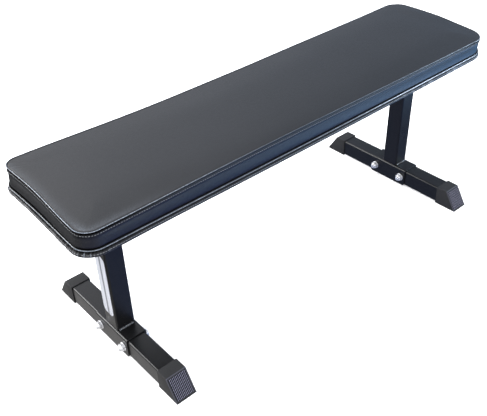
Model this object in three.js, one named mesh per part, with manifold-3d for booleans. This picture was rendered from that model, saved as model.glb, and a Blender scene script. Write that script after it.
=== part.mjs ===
// Flat weight bench: a sewn vinyl cushion on a square steel tube frame with two cross feet.
// Millimetres. +X runs along the bench, +Y across it, +Z up. The origin is on the floor, midway
// between the feet. Left is -X, right is +X, front is -Y, back is +Y.

import * as THREE from 'three';
import { mergeVertices } from 'three/addons/utils/BufferGeometryUtils.js';
import Module from 'manifold-3d';

const wasm = await Module();
wasm.setup();

// Whole bench
const SEAT_HEIGHT = 445;
const LEG_SPACING = 932;
const FOOT_SPAN = 458;

// Fits between pieces
const GAP = 0.3;
const OVERRUN = 5;

// Cushion outline and thickness
const PAD_LENGTH = 1187;
const PAD_WIDTH = 322;
const PAD_THICKNESS = 57;
const PAD_CORNER_RADIUS = 53;
const END_BOW = 2;
const SIDE_BOW = 3;
const CROWN_HEIGHT = 5.6;
const CORNER_DROP = 2.2;

// Cushion cover and its two seams
const VINYL_THICKNESS = 1.2;
const SEAM_RIDGE_HEIGHT = 3;
const SEAM_RIDGE_PROUD = 1.3;
const LOWER_SEAM_HEIGHT = 13.6;
const LOWER_SEAM_INSET = 4.5;
const TOP_SEAM_INSET = 11;
const BAND_SAG = 0.8;
const BOTTOM_ROLL = 4;
const HEM_WIDTH = 30;

// Board under the foam, the cloth that hides its underside, and the nuts set in it
const BOARD_THICKNESS = 12;
const BOARD_MARGIN = 12;
const CLOTH_THICKNESS = 0.6;
const TEE_NUT_FLANGE_DIAMETER = 22;
const TEE_NUT_FLANGE_THICKNESS = 1.5;
const TEE_NUT_BARREL_DIAMETER = 11.5;
const TEE_NUT_BARREL_LENGTH = 9;

// Square tube of the rail, the uprights and the feet
const TUBE_SIZE = 45;
const TUBE_WALL = 2;
const TUBE_CORNER_RADIUS = 4;
const RAIL_OVERHANG = 12;
const PLUG_HEAD_THICKNESS = 3;
const PLUG_INSERT_LENGTH = 16;
const WELD_LEG = 5;

// Flat bars across the rail that carry the cushion
const CROSS_BAR_WIDTH = 40;
const CROSS_BAR_THICKNESS = 5;
const CROSS_BAR_MARGIN = 8;
const CROSS_BAR_BOLT_EDGE = 25;

// Bent channels: two saddles over the feet, two cradles under the rail
const CHANNEL_LENGTH = 118;
const CHANNEL_PLATE = 3;
const CHANNEL_BEND_RADIUS = 4.5;
const CHANNEL_LIP = 1;
const CHANNEL_CORNER_CUT = 3;
const CHANNEL_BOLT_EDGE = 15;

// Ribbed end caps of the feet
const CAP_WALL = 2;
const CAP_LENGTH = 30.5;
const CAP_SLOPE_RUN = 32;
const CAP_END_WALL = 4;
const CAP_GROOVE_DEPTH = 0.8;
const CAP_GROOVE_COUNT = 12;

// Bolts through the channels, with their nuts and washers
const BOLT_DIAMETER = 10;
const BOLT_HEX = 17;
const BOLT_HEAD_HEIGHT = 6.4;
const BOLT_TIP_PROUD = 3;
const NUT_HEX_HEIGHT = 6.6;
const NUT_COLLAR_HEIGHT = 2.9;
const NUT_COLLAR_DIAMETER = 14.6;
const WASHER_DIAMETER = 21;
const WASHER_THICKNESS = 2;
const FLANGE_DIAMETER = 21;
const FLANGE_THICKNESS = 2;

// Bolts that hold the cushion to its bars
const PAD_BOLT_DIAMETER = 8;
const PAD_BOLT_HEX = 13;
const PAD_BOLT_HEAD_HEIGHT = 5.3;
const PAD_BOLT_FLANGE_DIAMETER = 17;
const PAD_BOLT_FLANGE_THICKNESS = 1.5;

// Plain label on the outer face of the left upright
const LABEL_LENGTH = 162;
const LABEL_THICKNESS = 0.3;
const LABEL_HEIGHT = 88;

// Shares of a size, and counts
const CROSS_BAR_PLACE_SHARE = 0.7;
const LABEL_WIDTH_SHARE = 0.8;
const LABEL_CORNER_SHARE = 0.33;
const RIBBED_WIDTH_SHARE = 0.9;
const RIBBED_SLOPE_SHARE = 0.86;
const BOLT_CHAMFER_SHARE = 0.1;
const CROWN_INSET_SHARES = [0.14, 0.28, 0.5, 0.78];
const CROWN_HEIGHT_SHARES = [0.46, 0.68, 0.88, 0.98];
const PANEL_CORNER_SHARE = 0.25;
const BOW_SHARPNESS = 8;
const CORNER_STEPS = 5;
const LONG_SIDE_STEPS = 6;
const SHORT_SIDE_STEPS = 4;
const ROUND_STEPS = 16;
const BEND_STEPS = 3;

// Heights from the cushion down to the upright's top
const PAD_BOTTOM = SEAT_HEIGHT - PAD_THICKNESS;
const TOP_SEAM_HEIGHT = PAD_THICKNESS - CROWN_HEIGHT;
const BOARD_BOTTOM = PAD_BOTTOM + VINYL_THICKNESS + GAP;
const BOARD_TOP = BOARD_BOTTOM + BOARD_THICKNESS;
const CLOTH_BOTTOM = BOARD_BOTTOM - GAP - CLOTH_THICKNESS;
const CROSS_BAR_BOTTOM = CLOTH_BOTTOM - GAP - CROSS_BAR_THICKNESS;
const RAIL_TOP = CROSS_BAR_BOTTOM - GAP;
const RAIL_MIDDLE = RAIL_TOP - TUBE_SIZE / 2;
const CRADLE_BOTTOM = RAIL_TOP - TUBE_SIZE - GAP - CHANNEL_PLATE;
const UPRIGHT_TOP = CRADLE_BOTTOM - GAP;

// Heights from the floor up to the upright's foot
const FOOT_BOTTOM = CAP_WALL + GAP;
const FOOT_MIDDLE = FOOT_BOTTOM + TUBE_SIZE / 2;
const SADDLE_TOP = FOOT_BOTTOM + TUBE_SIZE + GAP + CHANNEL_PLATE;
const UPRIGHT_BOTTOM = SADDLE_TOP + GAP;

// Lengths and places that follow from the sizes above
const CHANNEL_WIDTH = TUBE_SIZE + 2 * (GAP + CHANNEL_PLATE);
const CHANNEL_DEPTH = CHANNEL_PLATE + GAP + TUBE_SIZE + CHANNEL_LIP;
const CHANNEL_BOLT_PLACE = CHANNEL_LENGTH / 2 - CHANNEL_BOLT_EDGE;
const CAP_SIZE = TUBE_SIZE + 2 * (GAP + CAP_WALL);
const CAP_EDGE = FOOT_SPAN / 2 - CAP_SLOPE_RUN;
const FOOT_TUBE_LENGTH = 2 * (CAP_EDGE - CAP_END_WALL);
const RAIL_LENGTH = LEG_SPACING + CHANNEL_LENGTH + 2 * RAIL_OVERHANG;
const HEM_OPENING_WIDTH = PAD_WIDTH - 2 * (SIDE_BOW + HEM_WIDTH);
const CROSS_BAR_LENGTH = HEM_OPENING_WIDTH - 2 * CROSS_BAR_MARGIN;
const CROSS_BAR_PLACE = LEG_SPACING / 2 * CROSS_BAR_PLACE_SHARE;
const PAD_BOLT_PLACE = CROSS_BAR_LENGTH / 2 - CROSS_BAR_BOLT_EDGE;
const BOLT_HOLE_DIAMETER = BOLT_DIAMETER + 2 * GAP;
const PAD_BOLT_HOLE_DIAMETER = PAD_BOLT_DIAMETER + 2 * GAP;

const vinyl = new THREE.MeshStandardMaterial({ color: '#3d3f42', roughness: 0.62, metalness: 0 });
const foam = new THREE.MeshStandardMaterial({ color: '#d9cf9a', roughness: 0.95, metalness: 0 });
const plywood = new THREE.MeshStandardMaterial({ color: '#b48a57', roughness: 0.8, metalness: 0 });
const cloth = new THREE.MeshStandardMaterial({ color: '#17171a', roughness: 0.95, metalness: 0 });
const blackSteel = new THREE.MeshStandardMaterial({ color: '#1b1b1d', roughness: 0.42, metalness: 0.1 });
const zincSteel = new THREE.MeshStandardMaterial({ color: '#c9ccd0', roughness: 0.3, metalness: 1 });
const rubber = new THREE.MeshStandardMaterial({ color: '#1a1a1c', roughness: 0.7, metalness: 0 });
const plastic = new THREE.MeshStandardMaterial({ color: '#1c1c1e', roughness: 0.5, metalness: 0 });
const labelWhite = new THREE.MeshStandardMaterial({ color: '#eceef2', roughness: 0.4, metalness: 0 });

// A closed geometry as a solid that can be joined and cut
function solidOf(geometry) {
  const bare = geometry.index ? geometry.toNonIndexed() : geometry.clone();
  bare.deleteAttribute('normal');
  bare.deleteAttribute('uv');
  const merged = mergeVertices(bare);
  return new wasm.Manifold(new wasm.Mesh({
    numProp: 3,
    vertProperties: new Float32Array(merged.attributes.position.array),
    triVerts: new Uint32Array(merged.index.array),
  }));
}

// The geometry of a solid, with its vertices and triangles
function geometryOf(solid) {
  const mesh = solid.getMesh();
  const geometry = new THREE.BufferGeometry();
  geometry.setAttribute('position', new THREE.BufferAttribute(mesh.vertProperties, mesh.numProp));
  geometry.setIndex(new THREE.BufferAttribute(mesh.triVerts, 1));
  geometry.computeVertexNormals();
  return geometry;
}

function cutAll(geometry, tools) {
  return geometryOf(tools.reduce((solid, tool) => solid.subtract(solidOf(tool)), solidOf(geometry)));
}

function joinAll(geometry, extras) {
  return geometryOf(extras.reduce((solid, extra) => solid.add(solidOf(extra)), solidOf(geometry)));
}

const bench = new THREE.Group();

function addPiece(name, geometry, material, x, y, z, turn = [0, 0, 0]) {
  const piece = new THREE.Mesh(geometry, material);
  piece.name = name;
  piece.position.set(x, y, z);
  piece.rotation.set(...turn);
  bench.add(piece);
}

// A rectangle with rounded corners, centred on zero
function roundedRectangle(width, height, radius, outline = new THREE.Shape()) {
  const x = width / 2 - radius;
  const y = height / 2 - radius;
  outline.absarc(x, y, radius, 0, Math.PI / 2);
  outline.absarc(-x, y, radius, Math.PI / 2, Math.PI);
  outline.absarc(-x, -y, radius, Math.PI, Math.PI * 3 / 2);
  outline.absarc(x, -y, radius, Math.PI * 3 / 2, Math.PI * 2);
  outline.closePath();
  return outline;
}

// A flat shape drawn upwards from zero
function extrude(shape, depth) {
  return new THREE.ExtrudeGeometry(shape, { depth, bevelEnabled: false, curveSegments: BEND_STEPS });
}

// A side view in Y and Z, drawn along X and centred on zero
function acrossX(shape, width) {
  return extrude(shape, width)
    .rotateX(Math.PI / 2)
    .rotateZ(Math.PI / 2)
    .translate(-width / 2, 0, 0);
}

// A shape with corners at the given pairs
function polygon(pairs) {
  return new THREE.Shape(pairs.map(([x, y]) => new THREE.Vector2(x, y)));
}

// A body of revolution about Z from pairs of radius and height; the profile closes on itself
function turned(pairs) {
  const points = [...pairs, pairs[0]].map(([radius, height]) => new THREE.Vector2(radius, height));
  return new THREE.LatheGeometry(points, ROUND_STEPS).rotateX(Math.PI / 2);
}

// A round cutter that runs through a piece, centred on zero along Z
function drill(diameter, length) {
  return new THREE.CylinderGeometry(diameter / 2, diameter / 2, length, ROUND_STEPS).rotateX(Math.PI / 2);
}

// Square tube drawn along Z, centred on zero
function squareTube(length) {
  const section = roundedRectangle(TUBE_SIZE, TUBE_SIZE, TUBE_CORNER_RADIUS);
  const bore = TUBE_SIZE - 2 * TUBE_WALL;
  section.holes.push(roundedRectangle(bore, bore, TUBE_CORNER_RADIUS - TUBE_WALL, new THREE.Path()));
  return extrude(section, length).translate(0, 0, -length / 2);
}

// Drills for the bolts of one channel, along X, at both bolt places along Y
function channelDrills() {
  return [-1, 1].map((side) => drill(BOLT_HOLE_DIAMETER, CHANNEL_WIDTH + OVERRUN)
    .rotateY(Math.PI / 2)
    .translate(0, side * CHANNEL_BOLT_PLACE, 0));
}

// Cushion outlines: rounded rectangles whose sides bow out, drawn in by an inset
function cushionOutline(inset, bowShare = 1) {
  const halfLength = PAD_LENGTH / 2 - END_BOW - inset;
  const halfWidth = PAD_WIDTH / 2 - SIDE_BOW - inset;
  const radius = Math.max(PAD_CORNER_RADIUS - inset, halfWidth * PANEL_CORNER_SHARE);
  const points = [];
  const addSide = (fromX, fromY, toX, toY, steps) => {
    for (let step = 1; step < steps; step += 1) {
      const share = step / steps;
      points.push({ x: fromX + (toX - fromX) * share, y: fromY + (toY - fromY) * share, corner: 0 });
    }
  };
  const addCorner = (signX, signY, startAngle) => {
    for (let step = 0; step <= CORNER_STEPS; step += 1) {
      const turn = step / CORNER_STEPS * Math.PI / 2;
      points.push({
        x: signX * (halfLength - radius) + radius * Math.cos(startAngle + turn),
        y: signY * (halfWidth - radius) + radius * Math.sin(startAngle + turn),
        corner: Math.sin(2 * turn) ** 2,
      });
    }
  };
  const straightX = halfLength - radius;
  const straightY = halfWidth - radius;
  addCorner(1, 1, 0);
  addSide(straightX, halfWidth, -straightX, halfWidth, LONG_SIDE_STEPS);
  addCorner(-1, 1, Math.PI / 2);
  addSide(-halfLength, straightY, -halfLength, -straightY, SHORT_SIDE_STEPS);
  addCorner(-1, -1, Math.PI);
  addSide(-straightX, -halfWidth, straightX, -halfWidth, LONG_SIDE_STEPS);
  addCorner(1, -1, Math.PI * 3 / 2);
  addSide(halfLength, -straightY, halfLength, straightY, SHORT_SIDE_STEPS);
  return points.map(({ x, y, corner }) => {
    const along = Math.abs(x / halfLength);
    const across = Math.abs(y / halfWidth);
    const bowX = END_BOW * bowShare * (1 - across ** 2) * along ** BOW_SHARPNESS;
    const bowY = SIDE_BOW * bowShare * (1 - along ** 2) * across ** BOW_SHARPNESS;
    return { x: x + Math.sign(x) * bowX, y: y + Math.sign(y) * bowY, corner };
  });
}

// How far a point of the cushion sinks at the corners: most at the top seam, nothing at the lower
// seam or well inside the top panel
function cornerSink(inset, height) {
  const rise = (height - LOWER_SEAM_HEIGHT) / (TOP_SEAM_HEIGHT - LOWER_SEAM_HEIGHT);
  const reach = (inset - TOP_SEAM_INSET) / PAD_CORNER_RADIUS;
  return CORNER_DROP * THREE.MathUtils.clamp(rise, 0, 1) * THREE.MathUtils.clamp(1 - reach, 0, 1);
}

// One ring of points round the cushion
function cushionRing([inset, height]) {
  const sink = cornerSink(inset, height);
  return cushionOutline(inset).map(({ x, y, corner }) => [x, y, height - sink * corner]);
}

// A fan of triangles from one ring to a centre point
function fanTriangles(ringStart, ringSize, centre, faceUp) {
  const triangles = [];
  for (let here = 0; here < ringSize; here += 1) {
    const next = (here + 1) % ringSize;
    const pair = faceUp ? [ringStart + here, ringStart + next] : [ringStart + next, ringStart + here];
    triangles.push(...pair, centre);
  }
  return triangles;
}

// A closed body through rings of equal length, with a centre point over its first and last rings
function ringedBody(rings, firstCentreHeight, lastCentreHeight) {
  const ringSize = rings[0].length;
  const points = rings.flat();
  const firstCentre = points.length;
  const lastRing = firstCentre - ringSize;
  points.push([0, 0, firstCentreHeight], [0, 0, lastCentreHeight]);
  const triangles = [
    ...fanTriangles(0, ringSize, firstCentre, false),
    ...fanTriangles(lastRing, ringSize, firstCentre + 1, true),
  ];
  for (let low = 0; low < lastRing; low += ringSize) {
    for (let here = 0; here < ringSize; here += 1) {
      const next = (here + 1) % ringSize;
      triangles.push(low + here, low + next, low + ringSize + next);
      triangles.push(low + here, low + ringSize + next, low + ringSize + here);
    }
  }
  const geometry = new THREE.BufferGeometry();
  geometry.setAttribute('position', new THREE.Float32BufferAttribute(points.flat(), 3));
  geometry.setIndex(triangles);
  geometry.computeVertexNormals();
  return geometry;
}

// Crown of the top panel: pairs of inset and height from the seam inwards
function crownProfile() {
  const reach = PAD_WIDTH / 2 - SIDE_BOW - TOP_SEAM_INSET;
  return CROWN_INSET_SHARES.map((share, index) => [
    TOP_SEAM_INSET + reach * share,
    TOP_SEAM_HEIGHT + CROWN_HEIGHT * CROWN_HEIGHT_SHARES[index],
  ]);
}

// Base line of the cover without its seam ridges, from the roll at the bottom to the crown
function plainProfile() {
  const bandMiddle = (LOWER_SEAM_HEIGHT + TOP_SEAM_HEIGHT) / 2;
  const bandInset = (LOWER_SEAM_INSET + TOP_SEAM_INSET) / 2;
  return [
    [BOTTOM_ROLL, 0],
    [0, BOTTOM_ROLL],
    [LOWER_SEAM_INSET, LOWER_SEAM_HEIGHT],
    [bandInset + BAND_SAG, bandMiddle],
    [TOP_SEAM_INSET, TOP_SEAM_HEIGHT - SEAM_RIDGE_HEIGHT],
    [TOP_SEAM_INSET + SEAM_RIDGE_PROUD, TOP_SEAM_HEIGHT],
    ...crownProfile(),
  ];
}

// Outside of the cover: the base line with a ridge at each seam and the hem turned under the board
function coverProfile() {
  const half = SEAM_RIDGE_HEIGHT / 2;
  const ridgeAt = (inset, height) => [
    [inset, height - half],
    [inset - SEAM_RIDGE_PROUD, height],
    [inset, height + half],
  ];
  const [bottom, widest, , bandMiddle, ...rest] = plainProfile();
  return [
    [HEM_WIDTH, 0],
    bottom,
    [BOTTOM_ROLL * (1 - Math.SQRT1_2), BOTTOM_ROLL * (1 - Math.SQRT1_2)],
    widest,
    ...ridgeAt(LOWER_SEAM_INSET, LOWER_SEAM_HEIGHT),
    bandMiddle,
    [TOP_SEAM_INSET, TOP_SEAM_HEIGHT - SEAM_RIDGE_HEIGHT],
    [TOP_SEAM_INSET + SEAM_RIDGE_PROUD / 2, TOP_SEAM_HEIGHT - half],
    [TOP_SEAM_INSET - SEAM_RIDGE_PROUD / 2, TOP_SEAM_HEIGHT],
    [TOP_SEAM_INSET + SEAM_RIDGE_PROUD, TOP_SEAM_HEIGHT + half],
    ...rest.slice(2),
  ];
}

// The base line moved inwards by a depth, square to itself
function insideProfile(depth) {
  const line = plainProfile();
  return line.map(([inset, height], index) => {
    const [beforeInset, beforeHeight] = line[Math.max(index - 1, 0)];
    const [afterInset, afterHeight] = line[Math.min(index + 1, line.length - 1)];
    const run = afterInset - beforeInset;
    const rise = afterHeight - beforeHeight;
    const length = Math.hypot(run, rise);
    return [inset + depth * rise / length, Math.max(height - depth * run / length, depth)];
  });
}

// Vinyl cover: an inner skin down to the edge of the hem, then the outer skin up to the crown
function padCover() {
  const inner = [[HEM_WIDTH, VINYL_THICKNESS], ...insideProfile(VINYL_THICKNESS)].reverse();
  const rings = [...inner, ...coverProfile()].map(cushionRing);
  return ringedBody(rings, PAD_THICKNESS - VINYL_THICKNESS, PAD_THICKNESS);
}

// Foam block between the board and the cover, with a shallow pocket over each tee nut
function padFoam() {
  const depth = VINYL_THICKNESS + GAP;
  const floor = BOARD_TOP - PAD_BOTTOM + GAP;
  const sides = insideProfile(depth).filter(([, height]) => height > floor);
  const bottomInset = LOWER_SEAM_INSET + depth + GAP;
  const block = ringedBody([[bottomInset, floor], ...sides].map(cushionRing), floor, PAD_THICKNESS - depth);
  const pocketDepth = TEE_NUT_FLANGE_THICKNESS + 2 * GAP;
  const pocket = () => drill(TEE_NUT_FLANGE_DIAMETER + 2 * GAP, 2 * pocketDepth);
  return cutAll(block, padBoltPlaces().map(({ x, y }) => pocket().translate(x, y, floor)));
}

// The four places where a bolt holds the cushion
function padBoltPlaces() {
  return [['left', -1], ['right', 1]].flatMap(([end, signX]) => [['front', -1], ['back', 1]]
    .map(([side, signY]) => ({
      name: `${end}_${side}`,
      x: signX * CROSS_BAR_PLACE,
      y: signY * PAD_BOLT_PLACE,
    })));
}

// A flat sheet in the cushion's outline, drilled at the four bolts
function cushionSheet(inset, thickness, holeDiameter) {
  const outline = polygon(cushionOutline(inset, 0).map(({ x, y }) => [x, y]));
  const drills = padBoltPlaces().map(({ x, y }) => drill(holeDiameter, 2 * (thickness + OVERRUN))
    .translate(x, y, 0));
  return cutAll(extrude(outline, thickness), drills);
}

// Tee nut: a flange on top of the board and a barrel that goes down into it
function teeNut() {
  const bore = PAD_BOLT_HOLE_DIAMETER / 2;
  const barrel = TEE_NUT_BARREL_DIAMETER / 2;
  const flange = TEE_NUT_FLANGE_DIAMETER / 2;
  return turned([
    [bore, -TEE_NUT_BARREL_LENGTH],
    [barrel, -TEE_NUT_BARREL_LENGTH],
    [barrel, 0],
    [flange, 0],
    [flange, TEE_NUT_FLANGE_THICKNESS],
    [bore, TEE_NUT_FLANGE_THICKNESS],
  ]);
}

// A hexagonal prism that rises from zero
function hexagon(acrossFlats, height) {
  return new THREE.CylinderGeometry(acrossFlats / Math.sqrt(3), acrossFlats / Math.sqrt(3), height, 6)
    .rotateX(Math.PI / 2)
    .translate(0, 0, height / 2);
}

// Shank from zero up to its tip, with a chamfer there; below zero it reaches into the head
function boltShank(diameter, length, headHeight) {
  const radius = diameter / 2;
  const chamfer = diameter * BOLT_CHAMFER_SHARE;
  return turned([
    [0, -headHeight / 2],
    [radius, -headHeight / 2],
    [radius, length - chamfer],
    [radius - chamfer, length],
    [0, length],
  ]);
}

// A washer, or the flange under a bolt's head or a nut, rising from zero
function ring(outerDiameter, innerDiameter, thickness) {
  return turned([
    [innerDiameter / 2, 0],
    [outerDiameter / 2, 0],
    [outerDiameter / 2, thickness],
    [innerDiameter / 2, thickness],
  ]);
}

function hexBolt(length) {
  const head = hexagon(BOLT_HEX, BOLT_HEAD_HEIGHT).translate(0, 0, -BOLT_HEAD_HEIGHT);
  return joinAll(head, [boltShank(BOLT_DIAMETER, length, BOLT_HEAD_HEIGHT)]);
}

function flangedBolt(diameter, hex, headHeight, flangeDiameter, flangeThickness, length) {
  const head = hexagon(hex, headHeight).translate(0, 0, -headHeight);
  const flange = ring(flangeDiameter, diameter / 2, flangeThickness).translate(0, 0, -flangeThickness);
  return joinAll(head, [flange, boltShank(diameter, length, headHeight)]);
}

// Lock nut: a hexagon with a round collar for its nylon ring
function lockNut() {
  const collarTop = NUT_HEX_HEIGHT + NUT_COLLAR_HEIGHT;
  const collar = turned([
    [BOLT_DIAMETER / 2, NUT_HEX_HEIGHT / 2],
    [NUT_COLLAR_DIAMETER / 2, NUT_HEX_HEIGHT / 2],
    [NUT_COLLAR_DIAMETER / 2, collarTop - NUT_COLLAR_HEIGHT / 2],
    [(NUT_COLLAR_DIAMETER - NUT_COLLAR_HEIGHT) / 2, collarTop],
    [BOLT_DIAMETER / 2, collarTop],
  ]);
  const body = joinAll(hexagon(BOLT_HEX, NUT_HEX_HEIGHT), [collar]);
  return cutAll(body, [drill(BOLT_HOLE_DIAMETER, 2 * (collarTop + OVERRUN))]);
}

// Flange nut for the hidden bolts of the rail
function flangeNut() {
  const flange = ring(FLANGE_DIAMETER, BOLT_DIAMETER, FLANGE_THICKNESS);
  const body = joinAll(hexagon(BOLT_HEX, NUT_HEX_HEIGHT), [flange]);
  return cutAll(body, [drill(BOLT_HOLE_DIAMETER, 2 * (NUT_HEX_HEIGHT + OVERRUN))]);
}

// Bent channel, open downwards, drawn along Y; zero is the middle of the tube that it holds
function bentChannel() {
  const top = TUBE_SIZE / 2 + GAP + CHANNEL_PLATE;
  const bottom = top - CHANNEL_DEPTH;
  const outer = CHANNEL_WIDTH / 2;
  const inner = outer - CHANNEL_PLATE;
  const innerRadius = CHANNEL_BEND_RADIUS - CHANNEL_PLATE;
  const outerBend = outer - CHANNEL_BEND_RADIUS;
  const innerBend = inner - innerRadius;
  const bendHeight = top - CHANNEL_BEND_RADIUS;
  const section = new THREE.Shape();
  section.moveTo(outer, bottom);
  section.absarc(outerBend, bendHeight, CHANNEL_BEND_RADIUS, 0, Math.PI / 2);
  section.absarc(-outerBend, bendHeight, CHANNEL_BEND_RADIUS, Math.PI / 2, Math.PI);
  section.lineTo(-outer, bottom);
  section.lineTo(-inner, bottom);
  section.absarc(-innerBend, bendHeight, innerRadius, Math.PI, Math.PI / 2, true);
  section.absarc(innerBend, bendHeight, innerRadius, Math.PI / 2, 0, true);
  section.lineTo(inner, bottom);
  section.closePath();
  const body = extrude(section, CHANNEL_LENGTH).translate(0, 0, -CHANNEL_LENGTH / 2).rotateX(Math.PI / 2);
  const cornerCuts = [-1, 1].map((side) => {
    const end = side * (CHANNEL_LENGTH / 2 + OVERRUN);
    const start = side * (CHANNEL_LENGTH / 2 - CHANNEL_CORNER_CUT);
    const corner = polygon([
      [start, bottom],
      [start - side * OVERRUN, bottom - OVERRUN],
      [end, bottom - OVERRUN],
      [end, bottom + CHANNEL_CORNER_CUT + OVERRUN],
    ]);
    return acrossX(corner, CHANNEL_WIDTH + OVERRUN);
  });
  return cutAll(body, [...channelDrills(), ...cornerCuts]);
}

// Upright: a square tube with a weld fillet on two sides at each end
function upright() {
  const length = UPRIGHT_TOP - UPRIGHT_BOTTOM;
  const face = TUBE_SIZE / 2;
  const weldLength = TUBE_SIZE - 2 * TUBE_CORNER_RADIUS;
  const bead = polygon([
    [-TUBE_WALL / 2, 0],
    [WELD_LEG, 0],
    [WELD_LEG * Math.SQRT1_2, WELD_LEG * Math.SQRT1_2],
    [0, WELD_LEG],
    [-TUBE_WALL / 2, WELD_LEG],
  ]);
  const beadBar = () => extrude(bead, weldLength)
    .translate(face, 0, -weldLength / 2)
    .rotateX(Math.PI / 2);
  const lower = [1, -1].map((side) => beadBar().rotateZ(side * Math.PI / 2).translate(0, 0, -length / 2));
  const upper = [0, 1].map((half) => beadBar().rotateX(Math.PI).rotateZ(half * Math.PI)
    .translate(0, 0, length / 2));
  return joinAll(squareTube(length), [...lower, ...upper]);
}

// End cap: a sleeve over the foot tube with a solid sloping toe, grooved down its face
function footCap() {
  const start = CAP_EDGE - CAP_LENGTH;
  const side = polygon([
    [start, 0],
    [CAP_EDGE + CAP_SLOPE_RUN, 0],
    [CAP_EDGE, CAP_SIZE],
    [start, CAP_SIZE],
  ]);
  const body = acrossX(side, CAP_SIZE);
  const cavitySize = TUBE_SIZE + 2 * GAP;
  const cavityEnd = FOOT_TUBE_LENGTH / 2 + GAP;
  const cavitySection = roundedRectangle(cavitySize, cavitySize, TUBE_CORNER_RADIUS);
  const cavity = extrude(cavitySection, cavityEnd - start + OVERRUN)
    .rotateX(-Math.PI / 2)
    .translate(0, start - OVERRUN, CAP_SIZE / 2);
  const slope = new THREE.Vector2(CAP_SLOPE_RUN, -CAP_SIZE);
  const outward = new THREE.Vector2(CAP_SIZE, CAP_SLOPE_RUN).normalize();
  const onSlope = (share, proud) => [
    CAP_EDGE + slope.x * share + outward.x * proud,
    CAP_SIZE + slope.y * share + outward.y * proud,
  ];
  const top = (1 - RIBBED_SLOPE_SHARE) / 2;
  const strip = polygon([
    onSlope(top, -CAP_GROOVE_DEPTH),
    onSlope(1 - top, -CAP_GROOVE_DEPTH),
    onSlope(1 - top, OVERRUN),
    onSlope(top, OVERRUN),
  ]);
  const pitch = CAP_SIZE * RIBBED_WIDTH_SHARE / CAP_GROOVE_COUNT;
  const grooves = Array.from({ length: CAP_GROOVE_COUNT }, (_, index) => {
    const place = (index - (CAP_GROOVE_COUNT - 1) / 2) * pitch;
    return acrossX(strip, pitch / 2).translate(place, 0, 0);
  });
  return cutAll(body, [cavity, ...grooves]);
}

// Plug in the end of the rail: a square head and an insert that goes into the tube
function railPlug() {
  const insertSize = TUBE_SIZE - 2 * (TUBE_WALL + GAP);
  const insertRadius = TUBE_CORNER_RADIUS - TUBE_WALL;
  const head = extrude(roundedRectangle(TUBE_SIZE, TUBE_SIZE, TUBE_CORNER_RADIUS), PLUG_HEAD_THICKNESS);
  const insert = extrude(
    roundedRectangle(insertSize, insertSize, insertRadius),
    PLUG_INSERT_LENGTH + PLUG_HEAD_THICKNESS / 2,
  );
  return joinAll(head, [insert.translate(0, 0, -PLUG_INSERT_LENGTH)]);
}

function crossBar() {
  const bar = new THREE.BoxGeometry(CROSS_BAR_WIDTH, CROSS_BAR_LENGTH, CROSS_BAR_THICKNESS);
  return cutAll(bar, [-1, 1].map((side) => drill(PAD_BOLT_HOLE_DIAMETER, CROSS_BAR_THICKNESS + OVERRUN)
    .translate(0, side * PAD_BOLT_PLACE, 0)));
}

function addCushion() {
  addPiece('pad_cover', padCover(), vinyl, 0, 0, PAD_BOTTOM);
  addPiece('pad_foam', padFoam(), foam, 0, 0, PAD_BOTTOM);
  const board = cushionSheet(BOARD_MARGIN, BOARD_THICKNESS, TEE_NUT_BARREL_DIAMETER + 2 * GAP);
  addPiece('pad_board', board, plywood, 0, 0, BOARD_BOTTOM);
  const underside = cushionSheet(HEM_WIDTH + GAP, CLOTH_THICKNESS, TEE_NUT_BARREL_DIAMETER);
  addPiece('pad_dust_cloth', underside, cloth, 0, 0, CLOTH_BOTTOM);
  const boltLength = CROSS_BAR_THICKNESS + GAP + CLOTH_THICKNESS + GAP + BOARD_THICKNESS;
  padBoltPlaces().forEach(({ name, x, y }) => {
    addPiece(`tee_nut_${name}`, teeNut(), zincSteel, x, y, BOARD_TOP + GAP);
    const bolt = flangedBolt(PAD_BOLT_DIAMETER, PAD_BOLT_HEX, PAD_BOLT_HEAD_HEIGHT,
      PAD_BOLT_FLANGE_DIAMETER, PAD_BOLT_FLANGE_THICKNESS, boltLength);
    addPiece(`pad_bolt_${name}`, bolt, zincSteel, x, y, CROSS_BAR_BOTTOM - GAP);
  });
}

function addRail() {
  const alongX = [0, Math.PI / 2, 0];
  const drills = [-1, 1].flatMap((end) => channelDrills().map((tool) => tool
    .rotateZ(-Math.PI / 2)
    .translate(end * LEG_SPACING / 2, 0, 0)));
  const rail = cutAll(squareTube(RAIL_LENGTH).rotateY(Math.PI / 2), drills);
  addPiece('main_rail', rail, blackSteel, 0, 0, RAIL_MIDDLE);
  const plugPlace = RAIL_LENGTH / 2 + GAP;
  addPiece('rail_plug_right', railPlug(), plastic, plugPlace, 0, RAIL_MIDDLE, alongX);
  addPiece('rail_plug_left', railPlug(), plastic, -plugPlace, 0, RAIL_MIDDLE, [0, -Math.PI / 2, 0]);
  [['left', -1], ['right', 1]].forEach(([end, sign]) => {
    const barMiddle = CROSS_BAR_BOTTOM + CROSS_BAR_THICKNESS / 2;
    addPiece(`cross_bar_${end}`, crossBar(), blackSteel, sign * CROSS_BAR_PLACE, 0, barMiddle);
    const cradle = bentChannel().rotateX(Math.PI).rotateZ(Math.PI / 2);
    addPiece(`rail_cradle_${end}`, cradle, blackSteel, sign * LEG_SPACING / 2, 0, RAIL_MIDDLE);
  });
}

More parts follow.
